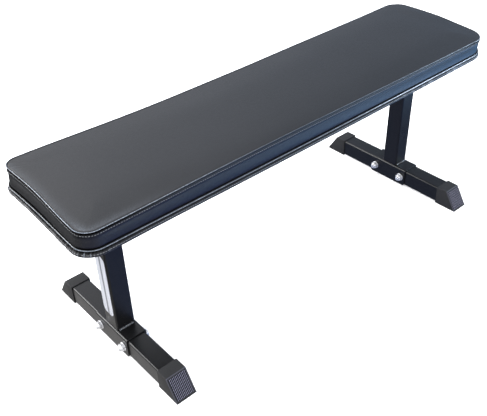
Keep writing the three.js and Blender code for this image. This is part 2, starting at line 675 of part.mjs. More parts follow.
// Flanged bolts through the cradle and the rail, from the front to the back
function addCradleBolts(end, sign) {
  const towardsBack = [-Math.PI / 2, 0, 0];
  const seat = CHANNEL_WIDTH / 2 + GAP;
  const length = 2 * seat + GAP + NUT_HEX_HEIGHT + BOLT_TIP_PROUD;
  [['outer', 1], ['inner', -1]].forEach(([side, away]) => {
    const x = sign * (LEG_SPACING / 2 + away * CHANNEL_BOLT_PLACE);
    const bolt = flangedBolt(BOLT_DIAMETER, BOLT_HEX, BOLT_HEAD_HEIGHT,
      FLANGE_DIAMETER, FLANGE_THICKNESS, length);
    addPiece(`cradle_bolt_${end}_${side}`, bolt, zincSteel, x, -seat, RAIL_MIDDLE, towardsBack);
    addPiece(`cradle_nut_${end}_${side}`, flangeNut(), zincSteel, x, seat, RAIL_MIDDLE, towardsBack);
  });
}

// Bolts through the saddle and the foot tube: heads on the right, lock nuts on the left
function addFootBolts(end, footX) {
  const towardsLeft = [0, -Math.PI / 2, 0];
  const plate = CHANNEL_WIDTH / 2;
  const washerSeat = plate + GAP;
  const boltSeat = washerSeat + WASHER_THICKNESS + GAP;
  const length = 2 * boltSeat + NUT_HEX_HEIGHT + NUT_COLLAR_HEIGHT + BOLT_TIP_PROUD;
  const washer = () => ring(WASHER_DIAMETER, BOLT_HOLE_DIAMETER, WASHER_THICKNESS);
  [['front', -1], ['back', 1]].forEach(([side, sign]) => {
    const y = sign * CHANNEL_BOLT_PLACE;
    const name = `${end}_${side}`;
    addPiece(`foot_bolt_${name}`, hexBolt(length), zincSteel, footX + boltSeat, y, FOOT_MIDDLE, towardsLeft);
    addPiece(`head_washer_${name}`, washer(), zincSteel, footX + boltSeat - GAP, y, FOOT_MIDDLE, towardsLeft);
    addPiece(`nut_washer_${name}`, washer(), zincSteel, footX - washerSeat, y, FOOT_MIDDLE, towardsLeft);
    addPiece(`foot_nut_${name}`, lockNut(), zincSteel, footX - boltSeat, y, FOOT_MIDDLE, towardsLeft);
  });
}

function addLeg(end, sign) {
  const x = sign * LEG_SPACING / 2;
  addPiece(`upright_${end}`, upright(), blackSteel, x, 0, (UPRIGHT_TOP + UPRIGHT_BOTTOM) / 2);
  addPiece(`foot_saddle_${end}`, bentChannel(), blackSteel, x, 0, FOOT_MIDDLE);
  const tube = cutAll(squareTube(FOOT_TUBE_LENGTH).rotateX(Math.PI / 2), channelDrills());
  addPiece(`foot_tube_${end}`, tube, blackSteel, x, 0, FOOT_MIDDLE);
  addPiece(`foot_cap_${end}_back`, footCap(), rubber, x, 0, 0);
  addPiece(`foot_cap_${end}_front`, footCap(), rubber, x, 0, 0, [0, 0, Math.PI]);
  addFootBolts(end, x);
  addCradleBolts(end, sign);
}

// Label with rounded corners, stuck to the outer face of the left upright
function addLabel() {
  const width = TUBE_SIZE * LABEL_WIDTH_SHARE;
  const outline = roundedRectangle(LABEL_LENGTH, width, width * LABEL_CORNER_SHARE);
  const strip = extrude(outline, LABEL_THICKNESS);
  const face = LEG_SPACING / 2 + TUBE_SIZE / 2 + GAP;
  const middle = LABEL_HEIGHT + LABEL_LENGTH / 2;
  addPiece('upright_label', strip, labelWhite, -face, 0, middle, [0, -Math.PI / 2, 0]);
}

addCushion();
addRail();
addLeg('left', -1);
addLeg('right', 1);
addLabel();

export default bench;
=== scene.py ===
import math

import bpy
import numpy as np
from mathutils import Matrix, Vector


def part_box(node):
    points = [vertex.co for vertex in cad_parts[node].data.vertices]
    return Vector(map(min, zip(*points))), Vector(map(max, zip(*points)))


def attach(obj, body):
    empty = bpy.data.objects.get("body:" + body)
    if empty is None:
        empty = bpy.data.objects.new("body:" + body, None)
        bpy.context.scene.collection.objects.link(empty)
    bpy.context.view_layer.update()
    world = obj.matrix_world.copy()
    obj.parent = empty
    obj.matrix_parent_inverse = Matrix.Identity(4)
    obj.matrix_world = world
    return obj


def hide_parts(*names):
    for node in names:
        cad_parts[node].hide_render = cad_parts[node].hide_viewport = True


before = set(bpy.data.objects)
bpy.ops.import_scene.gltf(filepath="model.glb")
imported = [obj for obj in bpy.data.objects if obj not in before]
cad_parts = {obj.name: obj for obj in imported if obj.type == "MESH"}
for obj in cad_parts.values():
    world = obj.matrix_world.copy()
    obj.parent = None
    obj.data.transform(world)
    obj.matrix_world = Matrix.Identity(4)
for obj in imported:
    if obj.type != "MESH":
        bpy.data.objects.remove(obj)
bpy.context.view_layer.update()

# Viewpoint: a standing person's view from the bench's left end, looking along it and down. The
# place, the turn and the lens come from fitting the bench's straight edges to the photograph.
eye = np.array((-0.96997, -1.01080, 1.15994))
heading, dip, lean = np.radians((40.54, 36.64, -1.76))
ahead = np.array((
    math.sin(heading) * math.cos(dip),
    math.cos(heading) * math.cos(dip),
    -math.sin(dip),
))
level = np.array((math.cos(heading), -math.sin(heading), 0.0))
above = np.cross(level, ahead)
rightward = level * math.cos(lean) + above * math.sin(lean)
upward = above * math.cos(lean) - level * math.sin(lean)
placing = np.eye(4)
placing[:3] = np.column_stack((rightward, upward, -ahead, eye))
camera = bpy.data.objects.new("viewpoint", bpy.data.cameras.new("viewpoint"))
camera.data.sensor_width = 36
camera.data.lens = 52.465
camera.matrix_world = Matrix(placing)
bpy.context.scene.collection.objects.link(camera)
bpy.context.scene.camera = camera

# Cushion: charcoal vinyl sewn over a foam block on a board. A top panel and a side band meet in a
# folded seam near the top, and the band meets a strip that rolls under the board in a second seam.
# The vinyl between the seams is swelled by a cloth simulation, and the seams are carried by rows.
def grid_faces(rows, columns, wrap_rows=False, wrap_columns=False, first=0):
    """Four-cornered faces over points numbered row by row: each joins a point to the next ones
    along its row and its column, and a wrapped grid joins its last row or column to its first."""
    row = np.arange(rows if wrap_rows else rows - 1)[:, None]
    column = np.arange(columns if wrap_columns else columns - 1)[None, :]
    next_row = (row + 1) % rows
    next_column = (column + 1) % columns
    corners = np.broadcast_arrays(
        row * columns + column,
        row * columns + next_column,
        next_row * columns + next_column,
        next_row * columns + column,
    )
    return first + np.stack(corners, -1).reshape(-1, 4)


def outward(points, faces):
    """The faces, turned round if the closed body's volume comes out negative. The volume is a sixth
    of the sum, over each face's fan of triangles, of corner dot (corner cross corner)."""
    volume = 0.0
    for group in faces:
        for step in range(1, group.shape[1] - 1):
            a, b, c = (points[group[:, k]] for k in (0, step, step + 1))
            volume += np.einsum("ij,ij->i", a, np.cross(b, c)).sum()
    return [group[:, ::-1] if volume < 0 else group for group in faces]


def closed_piece(name, points, *faces):
    """A smooth mesh object from an array of points and arrays of faces that close a body."""
    points = np.asarray(points, float).reshape(-1, 3)
    faces = outward(points - points.mean(0), faces)
    sizes = np.concatenate([np.full(len(group), group.shape[1]) for group in faces])
    corners = np.concatenate([group.ravel() for group in faces])
    mesh = bpy.data.meshes.new(name)
    mesh.vertices.add(len(points))
    mesh.vertices.foreach_set("co", points.astype(np.float32).ravel())
    mesh.loops.add(len(corners))
    mesh.loops.foreach_set("vertex_index", corners.astype(np.int32))
    mesh.polygons.add(len(sizes))
    mesh.polygons.foreach_set("loop_start", np.concatenate(([0], np.cumsum(sizes)[:-1])).astype(np.int32))
    mesh.polygons.foreach_set("use_smooth", np.ones(len(sizes), bool))
    mesh.update(calc_edges=True)
    mesh.validate()
    piece = bpy.data.objects.new(name, mesh)
    bpy.context.scene.collection.objects.link(piece)
    return piece


def solid_box(name):
    """The lowest and the highest corner of a solid's box."""
    return np.array(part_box(name))


def smooth_step(value):
    """0 below 0, 1 above 1, and 3v^2 - 2v^3 between them."""
    value = np.clip(value, 0, 1)
    return value * value * (3 - 2 * value)


def side_shares(length, fine, coarse, run):
    """Shares from 0 to 1 along one side of the cushion, the same from both ends. Steps are fine for
    a run at each end and grow to coarse: the running total of 1/step is cut into equal parts."""
    place = np.linspace(0, length, 4001)
    from_end = np.minimum(place, length - place)
    step = fine + (coarse - fine) * smooth_step(from_end / run - 0.6)
    total = np.concatenate(([0], np.cumsum(np.diff(place) / step[1:])))
    shares = np.interp(np.linspace(0, total[-1], int(round(total[-1])) + 1), total, place) / length
    return (shares + 1 - shares[::-1]) / 2


pad_low, pad_high = solid_box("pad_cover")
pad_middle = (pad_low + pad_high) / 2 + (0.0020, -0.0019, 0)
pad_half_length = (pad_high - pad_low)[0] / 2 - 0.002
pad_half_width = (pad_high - pad_low)[1] / 2 - 0.003
long_side, short_side = 1.141, 0.275
upper_radii = np.array((0.042, 0.055, 0.049, 0.038))
lower_radii = np.array((0.042, 0.072, 0.056, 0.047))
seam_inset = 0.011
seam_height = 0.0510
crown_height = 0.0038


def around_cushion(inset, shares_along, shares_across, radii):
    """Points x, y on rounded rectangles drawn in by an inset, with one column per share, and with the
    corner radii of each row. Each side runs from the middle of one corner's arc to the middle of the
    next: a point is at the arc length share times (eighth turn + straight + eighth turn). The sides
    are front, right, back, left."""
    radii = np.broadcast_to(radii, (*inset.shape[:-1], 4))
    sides = []
    for side in range(4):
        shares = (shares_along, shares_across)[side % 2][:-1]
        part = inset[..., : len(shares)]
        inset = inset[..., len(shares):]
        along = (pad_half_length, pad_half_width)[side % 2] - part
        out = (pad_half_width, pad_half_length)[side % 2] - part
        first, second = (np.maximum(radii[..., (side + k) % 4, None] - part, 1e-6) for k in (0, 1))
        straight = 2 * along - first - second
        place = shares * (straight + (first + second) * math.pi / 4) - first * math.pi / 4
        turn_in = np.clip(-place / first, 0, math.pi / 4)
        turn_out = np.clip((place - straight) / second, 0, math.pi / 4)
        p = first - along + np.clip(place, 0, straight)
        p = p - first * np.sin(turn_in) + second * np.sin(turn_out)
        q = first * (1 - np.cos(turn_in)) + second * (1 - np.cos(turn_out)) - out
        sides.append(((p, q), (-q, p), (-p, -q), (q, -p))[side])
    return tuple(np.concatenate([side[axis] for side in sides], -1) for axis in (0, 1))


def round_places(along, across):
    """Each column's place round the cushion: its side's number plus its share of that side."""
    return np.concatenate((along[:-1], 1 + across[:-1], 2 + along[:-1], 3 + across[:-1]))


def by_place(table, places):
    """Values round the cushion, from pairs of place and value: straight lines between the pairs,
    smoothed by a bell a quarter of a side wide."""
    fine = np.arange(-1, 5, 0.01)
    at, values = np.array(table).T
    bell = np.hanning(27)
    smoothed = np.convolve(np.interp(fine % 4, at, values), bell / bell.sum(), "same")
    return np.interp(places, fine, smoothed)


# The cushion as it was sewn, by place: 0 is the corner at the front left, 1 front right, 2 back right
# and 3 back left. The top seam sinks, the outline is pushed along the bench and across it, and the
# strip under the lower seam bulges, all in mm. The groove under the top fold is drawn shallower along
# the front, and the painted shade in it and in the creases at the lower fold is weaker there. The folds
# and the strip get more wear and painted highlight in some places.
sink_table = (
    (0, 4.6), (0.05, 4.2), (0.12, 3.2), (0.18, 0.8), (0.36, -1), (0.45, -0.9), (0.6, 1.2), (0.77, 2.8),
    (0.93, 4.8), (1, 4.8), (1.3, 0.6), (1.5, -3.2), (1.75, -3.8), (2, -3), (2.08, 0.3), (2.2, 0.9),
    (2.37, 2.4), (2.45, 4.5), (2.57, 5), (2.71, 6), (2.8, 3.4), (2.88, 0.8), (2.95, -2.6), (3, -2.6),
    (3.15, -1.5), (3.5, 0), (3.8, 2.2), (4, 4.6),
)
along_table = (
    (0, -4.3), (0.12, 0), (0.85, 0), (1, -2), (1.25, 2.5), (1.5, 4.8), (1.75, 4.7), (2, 2.4), (2.15, 0),
    (2.85, 0), (3, 0), (3.07, 0.4), (3.22, 2.2), (3.32, 2.6), (3.42, 2.3), (3.54, 0.6), (3.66, -1.3),
    (3.77, -3.3), (3.9, -4.3), (4, -4.3),
)
across_table = (
    (0, 0), (0.25, -2.2), (0.5, -3), (0.75, -2.2), (1, 0), (2, 0), (2.25, -2.2), (2.5, -3),
    (2.75, -2.2), (3, 0), (4, 0),
)
bulge_table = (
    (0, 4.2), (0.04, 2.4), (0.12, 0.9), (0.3, 1.4), (0.8, 0.9), (1, 0.2), (1.2, 0), (3, 0), (3.2, 1.6),
    (3.6, 2.6), (3.85, 3.4), (4, 4.2),
)
# The rub tables set how much wear and painted highlight the folds and the strip get.
upper_rub_sheen_table = (
    (0, 1.3), (0.1, 1.1), (0.2, 0.8), (0.36, 0.35), (0.5, 0.4), (0.65, 0.4), (0.8, 0.5), (0.93, 0.9),
    (1, 1.2), (2, 1), (3, 0.8), (3.5, 1), (4, 1.3),
)
# The groove table draws the groove's rows to its mouth and scales the painted shade in the upper groove;
# the table after it scales the painted shade in the lower creases.
groove_table = (
    (0, 1), (0.04, 0.75), (0.12, 0.25), (0.3, 0.2), (0.5, 0.3), (0.6, 0.3), (0.9, 0.3), (1, 0.7),
    (1.3, 1), (3, 1), (4, 1),
)
lower_crease_shade_table = ((0, 0.9), (0.06, 0.2), (0.94, 0.2), (1.1, 1), (3.9, 1), (4, 0.9))
strip_rub_sheen_table = ((0, 0), (0.66, 0), (0.76, 1.0), (0.84, 1.2), (0.92, 0.7), (1, 0.3), (1.1, 0), (4, 0))
lower_rub_sheen_table = (
    (0, 1.5), (0.3, 1.3), (0.5, 1.6), (0.62, 2.6), (0.7, 5.4), (0.78, 6.2), (0.88, 4.5), (0.97, 2.2),
    (1.2, 1), (3, 1), (3.5, 1.1), (4, 1.5),
)


def crown(x, y, inset):
    """Height of the top panel over its seam: crown height times F(inset), passing over 45 mm into
    F(from the end) F(from the side), with F(d) = 1 - (1 - d / reach)^2.6."""
    reach = pad_half_width - seam_inset
    rise = lambda distance: 1 - (1 - np.clip(distance / reach, 0, 1)) ** 2.6
    from_end = rise(pad_half_length - seam_inset - np.abs(x))
    from_side = rise(pad_half_width - seam_inset - np.abs(y))
    deep = smooth_step((inset - seam_inset) / 0.045)
    return crown_height * ((1 - deep) * rise(inset - seam_inset) + deep * from_end * from_side)


def row_radii(height):
    """Corner radii of a row: the lower ones up to the lower seam, passing to the upper ones."""
    lower_seam, short_of_top = 0.015, 0.006
    share = smooth_step((height[..., None] - lower_seam) / (seam_height - lower_seam - short_of_top))
    return lower_radii * (1 - share) + upper_radii * share


def sewn_share(height):
    """How far a row takes part in the sinking of the top seam: from 0 under the lower fold to 1."""
    lower_fold = 0.0136
    return np.clip((height - lower_fold) / (seam_height - lower_fold), 0, 1)


def strip_share(height):
    """How far a row takes part in the bulge of the lower strip."""
    strip_top, fade = 0.0098, 0.002
    return smooth_step((strip_top - height) / fade)


def held_back(height):
    """How far a row below the band stays behind the outline that is pushed along the bench."""
    band_foot, fade = 0.018, 0.003
    return 0.4 * smooth_step((band_foot - height) / fade)


# Rows of the sewn edge, from the top panel out over the folded seam, down the band, over the lower
# seam and under the board: inset from the widest outline, height over the cushion's bottom (both in
# mm), how much wear and painted highlight the fold gets, or below zero how much painted shade its
# creases get, how much the row follows the pushed outline, and whether the cloth simulation holds it.
sewn_rows = np.array((
    (14.6, 51.15, 0, 1, 1), (13.6, 50.75, 0, 1, 1), (12.7, 50.4, -0.3, 1, 1), (12, 50.35, -0.5, 1, 1),
    (11.5, 50.65, -0.2, 1, 1), (11.1, 51.15, 0.1, 1, 1), (10.6, 51.6, 0.7, 1, 1), (10, 51.7, 1, 1, 1),
    (9.5, 51.35, 0.9, 1, 1), (9.25, 50.75, 0.1, 1, 1), (9.35, 50.1, -0.6, 1, 1),
    (10.2, 49.65, -1, 1, 1), (12.2, 49.3, -1, 1, 1), (14.2, 48.65, -1, 1, 1), (14.6, 47.8, -1, 1, 1),
    (14, 47, -1, 1, 1), (12.2, 46.5, -1, 1, 1), (10.5, 46.2, -1, 1, 1), (9.6, 45.7, -0.9, 1, 1),
    (9.2, 44.95, -0.6, 1, 1), (9.1, 44.2, -0.3, 1, 1), (9.45, 43.5, -0.3, 1, 1),
    (9.6, 42.85, -0.3, 1, 1), (9.3, 42.2, -0.2, 1, 1), (9.1, 41.3, 0, 1, 1), (9.5, 40, 0, 1, 1),
    (9.8, 38.4, 0, 1, 1), (9.6, 36.3, 0, 1, 0), (9.1, 34, 0, 1, 0), (8.5, 31.6, 0, 1, 0),
    (7.9, 29, 0, 1, 0), (7.3, 26.4, 0, 1, 0), (6.8, 24, 0, 1, 0), (6.3, 21.8, 0, 1, 0),
    (5.85, 19.8, 0, 1, 0), (5.6, 18.2, 0, 1, 1), (5.55, 17.2, -0.3, 1, 1), (5.8, 16.4, -0.9, 1, 1),
    (7.2, 15.9, -1, 1, 1), (9.4, 15.55, -1, 1, 1), (11, 15.05, -1, 1, 1), (10.8, 14.55, -1, 1, 1),
    (8.8, 14.2, -1, 1, 1), (5.8, 14, -1, 1, 1), (3.7, 13.75, -0.6, 1, 1), (2.95, 13.4, 0.5, 1, 1),
    (2.6, 12.9, 1, 1, 1), (2.55, 12.35, 1, 1, 1), (2.85, 11.85, 0.2, 1, 1), (3.7, 11.5, -0.7, 1, 1),
    (4.6, 11, -1, 1, 1), (5, 10.3, -1, 1, 1), (4.9, 9.6, -1, 1, 1), (4, 9.05, -1, 1, 1),
    (2.8, 8.7, -0.8, 1, 1), (2, 8.3, -0.4, 1, 1), (1.65, 7.8, -0.3, 1, 1), (1.9, 7.2, -0.3, 1, 1),
    (1.9, 6.6, -0.3, 1, 1), (1.4, 6, -0.3, 1, 1), (0.95, 5.3, -0.3, 1, 1), (0.75, 4.5, -0.2, 1, 1),
    (0.9, 3.5, -0.2, 1, 1), (1.5, 2.4, 0, 1, 1), (2.6, 1.3, 0, 1, 1), (4.2, 0.45, 0, 1, 1),
    (6.5, 0, 0, 1, 1), (10, 0, 0, 0.8, 1), (17, 0, 0, 0.4, 1), (24, 0, 0, 0.1, 1), (28.8, 0, 0, 0, 1),
    (29.7, 0.1, 0, 0, 1), (30, 0.45, 0, 0, 1), (30, 1.2, 0, 0, 1), (29, 1.3, 0, 0, 1),
    (6.6, 1.3, 0, 0, 1), (6.6, 13.5, 0, 0, 1), (12, 13.6, 0, 0, 1), (22, 15.2, 0, 0, 1),
))
groove_mouth = 0.0095
groove_low, groove_high = 45.5, 50.2
turned_under_inset = 6.55
panel_steps = np.array((60, 52, 44.5, 38, 32, 27, 22.8, 19.2, 16, 13.2, 10.8, 8.6, 6.8, 5.2)) / 1000


def waves(length, pitch, shift=0.0):
    """The sine of a length in turns of a pitch, shifted by an angle."""
    return np.sin(length / pitch * 2 * math.pi + shift)


def gather_waves(along_shares, across_shares):
    """How far the vinyl is gathered round the seam, most at the corners, and the waves of its
    gathers: a slow drift, coarse waves of 8 and 12 mm that it shifts, and fine waves of 6 mm."""
    sides = np.array((len(along_shares) - 1, len(across_shares) - 1) * 2)
    seam_x, seam_y = around_cushion(
        np.full(sides.sum(), seam_inset), along_shares, across_shares, upper_radii,
    )
    steps = np.hypot(np.diff(seam_x, append=seam_x[0]), np.diff(seam_y, append=seam_y[0]))
    length = np.concatenate(([0], np.cumsum(steps)[:-1]))
    away = np.abs(length[:, None] - length[np.cumsum(sides) - sides])
    away = np.minimum(away, steps.sum() - away)
    reach, at_corners, at_ends = 0.036, np.array((1.0, 0.8, 0.7, 0.9)), 0.30
    gathered = np.exp(-(away / reach) ** 2) @ at_corners + at_ends * np.repeat((0, 1, 0, 1), sides)
    drift = waves(length, 0.031) + 0.6 * waves(length, 0.047, 1)
    gather = waves(length, 0.0078, 2.2 * drift) + 0.6 * waves(length, 0.0117, -drift)
    gather = gather * (0.7 + 0.5 * waves(length, 0.0193, drift))
    fine_gather = waves(length, 0.0056, 0.3 * drift)
    return gathered, drift, gather, fine_gather


def near_strip(row_inset, row_height):
    """How near a row is to the middle of the lower strip, both in mm: a bell about its height."""
    middle, reach, deepest = 6.5, 3.5, 8
    return np.exp(-((row_height - middle) / reach) ** 2) * (row_inset < deepest)


def middle_grid(inset, along_shares, across_shares):
    """A grid of shares over the inside of the outline drawn in by an inset: x, y and the inset of
    each point."""
    x, y = np.meshgrid(
        (pad_half_length - inset) * (2 * along_shares - 1),
        (pad_half_width - inset) * (2 * across_shares - 1),
    )
    return x, y, np.minimum(pad_half_length - np.abs(x), pad_half_width - np.abs(y))


def cushion_points(along_shares, across_shares, rows):
    """The panel's middle as a flat grid of shares, then closed rows round it: the panel's own rows
    at their crowned heights, and the sewn rows. Gathers push the rows near the seams in and out,
    the groove's rows are drawn to its mouth, and the tables sink and push the seams."""
    places = round_places(along_shares, across_shares)
    sink, push_along, push_across, bulge = (
        by_place(table, places) / 1000 for table in (sink_table, along_table, across_table, bulge_table)
    )
    gathered, drift, gather, fine_gather = gather_waves(along_shares, across_shares)

    row_inset, row_height, _, follow, _ = rows.T[:, :, None]
    height = row_height / 1000 + np.zeros(len(places))
    fold_foot, reach, fold_low = 42, 4, 49
    near_top = np.exp(-((row_height - fold_foot) / reach) ** 2) * (row_height < fold_low)
    top_gathers = 0.00028 * near_top * (gather + fine_gather)
    low_gathers = 0.00085 * near_strip(row_inset, row_height) * (gather + 0.6 * fine_gather)
    strip = strip_share(height) * (row_inset < turned_under_inset) * (follow > 0)
    inset = row_inset / 1000 - strip * bulge + gathered * (top_gathers + low_gathers)
    in_groove = (row_height > groove_low) & (row_height < groove_high) & (row_inset > groove_mouth * 1000)
    drawn_out = groove_mouth + (inset - groove_mouth) * by_place(groove_table, places)
    inset = np.where(in_groove, drawn_out, inset)
    sewn_x, sewn_y = around_cushion(inset, along_shares, across_shares, row_radii(rows[:, 1] / 1000))
    sewn_x = sewn_x + push_along * (follow - held_back(height) * (follow > 0))
    sewn_y = sewn_y + push_across * follow
    sewn_z = height - sewn_share(height) * sink

    step = panel_steps[:, None]
    panel_inset = np.repeat(seam_inset + step, len(places), 1)
    panel_x, panel_y = around_cushion(panel_inset, along_shares, across_shares, upper_radii)
    gather_reach, dimple_pitch, gather_rise = 0.006, 0.0085, 0.00030
    fade = step / gather_reach * np.exp(1 - step / gather_reach)
    dimple = 0.55 + 0.45 * waves(step, dimple_pitch, 2 * drift)
    gathers = gather_rise * gathered * fade * dimple * (gather + 0.5 * fine_gather)
    near_seam = smooth_step(1 - step / panel_steps[0])
    panel_x, panel_y, panel_z = (
        panel_x + push_along * near_seam,
        panel_y + push_across * near_seam,
        seam_height + crown(panel_x, panel_y, panel_inset) + gathers - sink * near_seam,
    )

    middle_x, middle_y, middle_inset = middle_grid(panel_inset[0, 0], along_shares, across_shares)
    middle_z = seam_height + crown(middle_x, middle_y, middle_inset)
    stack = lambda x, y, z: np.stack((x, y, z), -1).reshape(-1, 3)
    points = np.concatenate((
        stack(middle_x, middle_y, middle_z),
        stack(panel_x[1:], panel_y[1:], panel_z[1:]),
        stack(sewn_x, sewn_y, sewn_z),
    ))
    return points + (pad_middle[0], pad_middle[1], pad_low[2])


def ringed_faces(columns, rows, ring_count):
    """Faces of a middle grid, of the strip from its edge to the first ring of points round it and
    of all the rings, and one face across the last ring."""
    count = 2 * (columns + rows - 2)
    grid = np.arange(rows * columns).reshape(rows, columns)
    edge = np.concatenate((grid[0, :-1], grid[:-1, -1], grid[-1, :0:-1], grid[:0:-1, 0]))
    rings = rows * columns + np.arange(ring_count * count).reshape(ring_count, count)
    strip = np.stack((edge, rings[0], np.roll(rings[0], -1), np.roll(edge, -1)), -1)
    walls = grid_faces(ring_count, count, wrap_columns=True, first=rows * columns)
    return grid_faces(rows, columns), strip, walls[:, ::-1], rings[-1:, :]


def between(values, at, wanted):
    """Values at wanted places along the first axis, on straight lines between the given ones."""
    index = np.clip(np.searchsorted(at, wanted) - 1, 0, len(at) - 2)
    share = (wanted - at[index]) / (at[index + 1] - at[index])
    share = share.reshape(-1, *[1] * (values.ndim - 1))
    return values[index] * (1 - share) + values[index + 1] * share


def swelling(along, across):
    """Moves by which a cloth simulation swells the free vinyl, for the points of the finished
    cushion. It runs on a coarser copy with the seams and the underside pinned, and without gravity.
    A point's move is kept to most times tanh(length / most)."""
    coarse_along = side_shares(long_side, 0.006, 0.019, 0.085)
    coarse_across = side_shares(short_side, 0.006, 0.015, 0.080)
    free = sewn_rows[:, 4] == 0
    number = np.arange(len(sewn_rows))
    every, last_in_view = 4, 65
    rows = sewn_rows[free | (number % every == 0) | (number > last_in_view)]
    points = cushion_points(coarse_along, coarse_across, rows)
    middle = len(coarse_along) * len(coarse_across)
    count = 2 * (len(coarse_along) + len(coarse_across) - 2)
    panel_rings = len(panel_steps) - 1
    faces = ringed_faces(len(coarse_along), len(coarse_across), panel_rings + len(rows))
    piece = closed_piece("swelling", points, *faces)
    held = np.flatnonzero(np.repeat(rows[:, 4], count)) + middle + panel_rings * count
    piece.vertex_groups.new(name="held").add(held.tolist(), 1.0, "REPLACE")

    cloth = piece.modifiers.new("swelling", "CLOTH")
    cloth_settings = {
        "vertex_group_mass": "held", "quality": 5, "mass": 0.4, "tension_stiffness": 40,
        "compression_stiffness": 40, "shear_stiffness": 20, "bending_stiffness": 5,
        "use_pressure": True, "uniform_pressure_force": 4,
    }
    for name, value in cloth_settings.items():
        setattr(cloth.settings, name, value)
    cloth.settings.effector_weights.gravity = 0
    frames = 20
    cloth.point_cache.frame_start = 1
    cloth.point_cache.frame_end = frames
    for frame_number in range(1, frames + 1):
        bpy.context.scene.frame_set(frame_number)
    shown = piece.evaluated_get(bpy.context.evaluated_depsgraph_get()).data
    swelled = np.empty(len(shown.vertices) * 3, np.float32)
    shown.vertices.foreach_get("co", swelled)
    move = swelled.reshape(-1, 3) - points
    bpy.context.scene.frame_set(1)
    bpy.data.meshes.remove(piece.data)

    most_on_band, most_on_panel = 0.0011, 0.0026
    most = np.full((len(move), 1), most_on_band)
    most[: middle + panel_rings * count] = most_on_panel
    size = np.maximum(np.linalg.norm(move, axis=1, keepdims=True), 1e-9)
    move = move / size * most * np.tanh(size / most)
    inside = between(move[:middle].reshape(len(coarse_across), -1, 3), coarse_across, across)
    inside = between(inside.swapaxes(0, 1), coarse_along, along).swapaxes(0, 1)
    rings = move[middle:].reshape(-1, count, 3).swapaxes(0, 1)
    at = np.concatenate((round_places(coarse_along, coarse_across), (4,)))
    rings = between(np.concatenate((rings, rings[:1])), at, round_places(along, across)).swapaxes(0, 1)
    sewn = np.zeros((len(sewn_rows), rings.shape[1], 3))
    sewn[free] = rings[panel_rings:][rows[:, 4] == 0]
    return np.concatenate([part.reshape(-1, 3) for part in (inside, rings[:panel_rings], sewn)])


def point_values(piece, name, values):
    """Stores a value for each point of a piece, for its material to read by name."""
    stored = piece.data.attributes.new(name, "FLOAT", "POINT")
    stored.data.foreach_set("value", np.asarray(values).astype(np.float32))


def fold_wear_sheen_shade(along_shares, across_shares):
    """How much wear and painted highlight the vinyl gets on the panel's rows and the sewn rows, and below
    zero how much painted shade its creases get: the rows' own values times the tables for their seam.
    The crests of the gathers on the lower strip get wear and painted highlight, and the panel gets a
    little painted highlight near its seam at the left end."""
    places = round_places(along_shares, across_shares)
    row_inset, row_height, wear_sheen_shade, _, _ = sewn_rows.T[:, :, None]
    band_middle = 40
    by_seam = lambda upper, lower: np.where(
        row_height > band_middle, by_place(upper, places), by_place(lower, places),
    )
    rub_and_sheen = by_seam(upper_rub_sheen_table, lower_rub_sheen_table)
    crease_shade_share = by_seam(groove_table, lower_crease_shade_table)
    sewn = wear_sheen_shade * np.where(wear_sheen_shade > 0, rub_and_sheen, crease_shade_share)
    gathered, _, gather, fine_gather = gather_waves(along_shares, across_shares)
    crests = np.clip(gather + fine_gather - 0.2, 0, 1.4)
    crests = crests * (gathered + 0.1 + by_place(strip_rub_sheen_table, places))
    sewn = sewn + 0.9 * near_strip(row_inset, row_height) * crests
    # A painted highlight on the panel next to its seam along the left end, most at the front left corner.
    by_corner = np.exp(-(np.minimum(places, 4 - places) / 0.10) ** 2) + 0.5 * (places > 3)
    panel = 0.15 * by_corner * np.exp(-((panel_steps[1:, None] - 0.005) / 0.009) ** 2)
    return np.concatenate((panel.ravel(), sewn.ravel()))


along_shares = side_shares(long_side, 0.0021, 0.0095, 0.085)
across_shares = side_shares(short_side, 0.0021, 0.0080, 0.080)
cushion_places = cushion_points(along_shares, across_shares, sewn_rows)
cushion_places += swelling(along_shares, across_shares)
cushion_rings = len(panel_steps) - 1 + len(sewn_rows)
cushion = closed_piece(
    "seat_cushion", cushion_places, *ringed_faces(len(along_shares), len(across_shares), cushion_rings),
)
wear_sheen_shade_values = fold_wear_sheen_shade(along_shares, across_shares)
unrubbed = np.zeros(len(cushion_places) - len(wear_sheen_shade_values))
point_values(cushion, "wear_sheen_shade", np.concatenate((unrubbed, wear_sheen_shade_values)))


class Value:
    """One output of a node. Arithmetic on it, from either side, adds the Math node that does it."""

    def __init__(self, finish, socket):
        self.finish = finish
        self.socket = socket

    def __add__(self, other):
        return self.finish.math("ADD", self, other)

    def __radd__(self, other):
        return self.finish.math("ADD", other, self)

    def __sub__(self, other):
        return self.finish.math("SUBTRACT", self, other)

    def __rsub__(self, other):
        return self.finish.math("SUBTRACT", other, self)

    def __mul__(self, other):
        return self.finish.math("MULTIPLY", self, other)

    def __rmul__(self, other):
        return self.finish.math("MULTIPLY", other, self)

    def __neg__(self):
        return self.finish.math("MULTIPLY", -1, self)


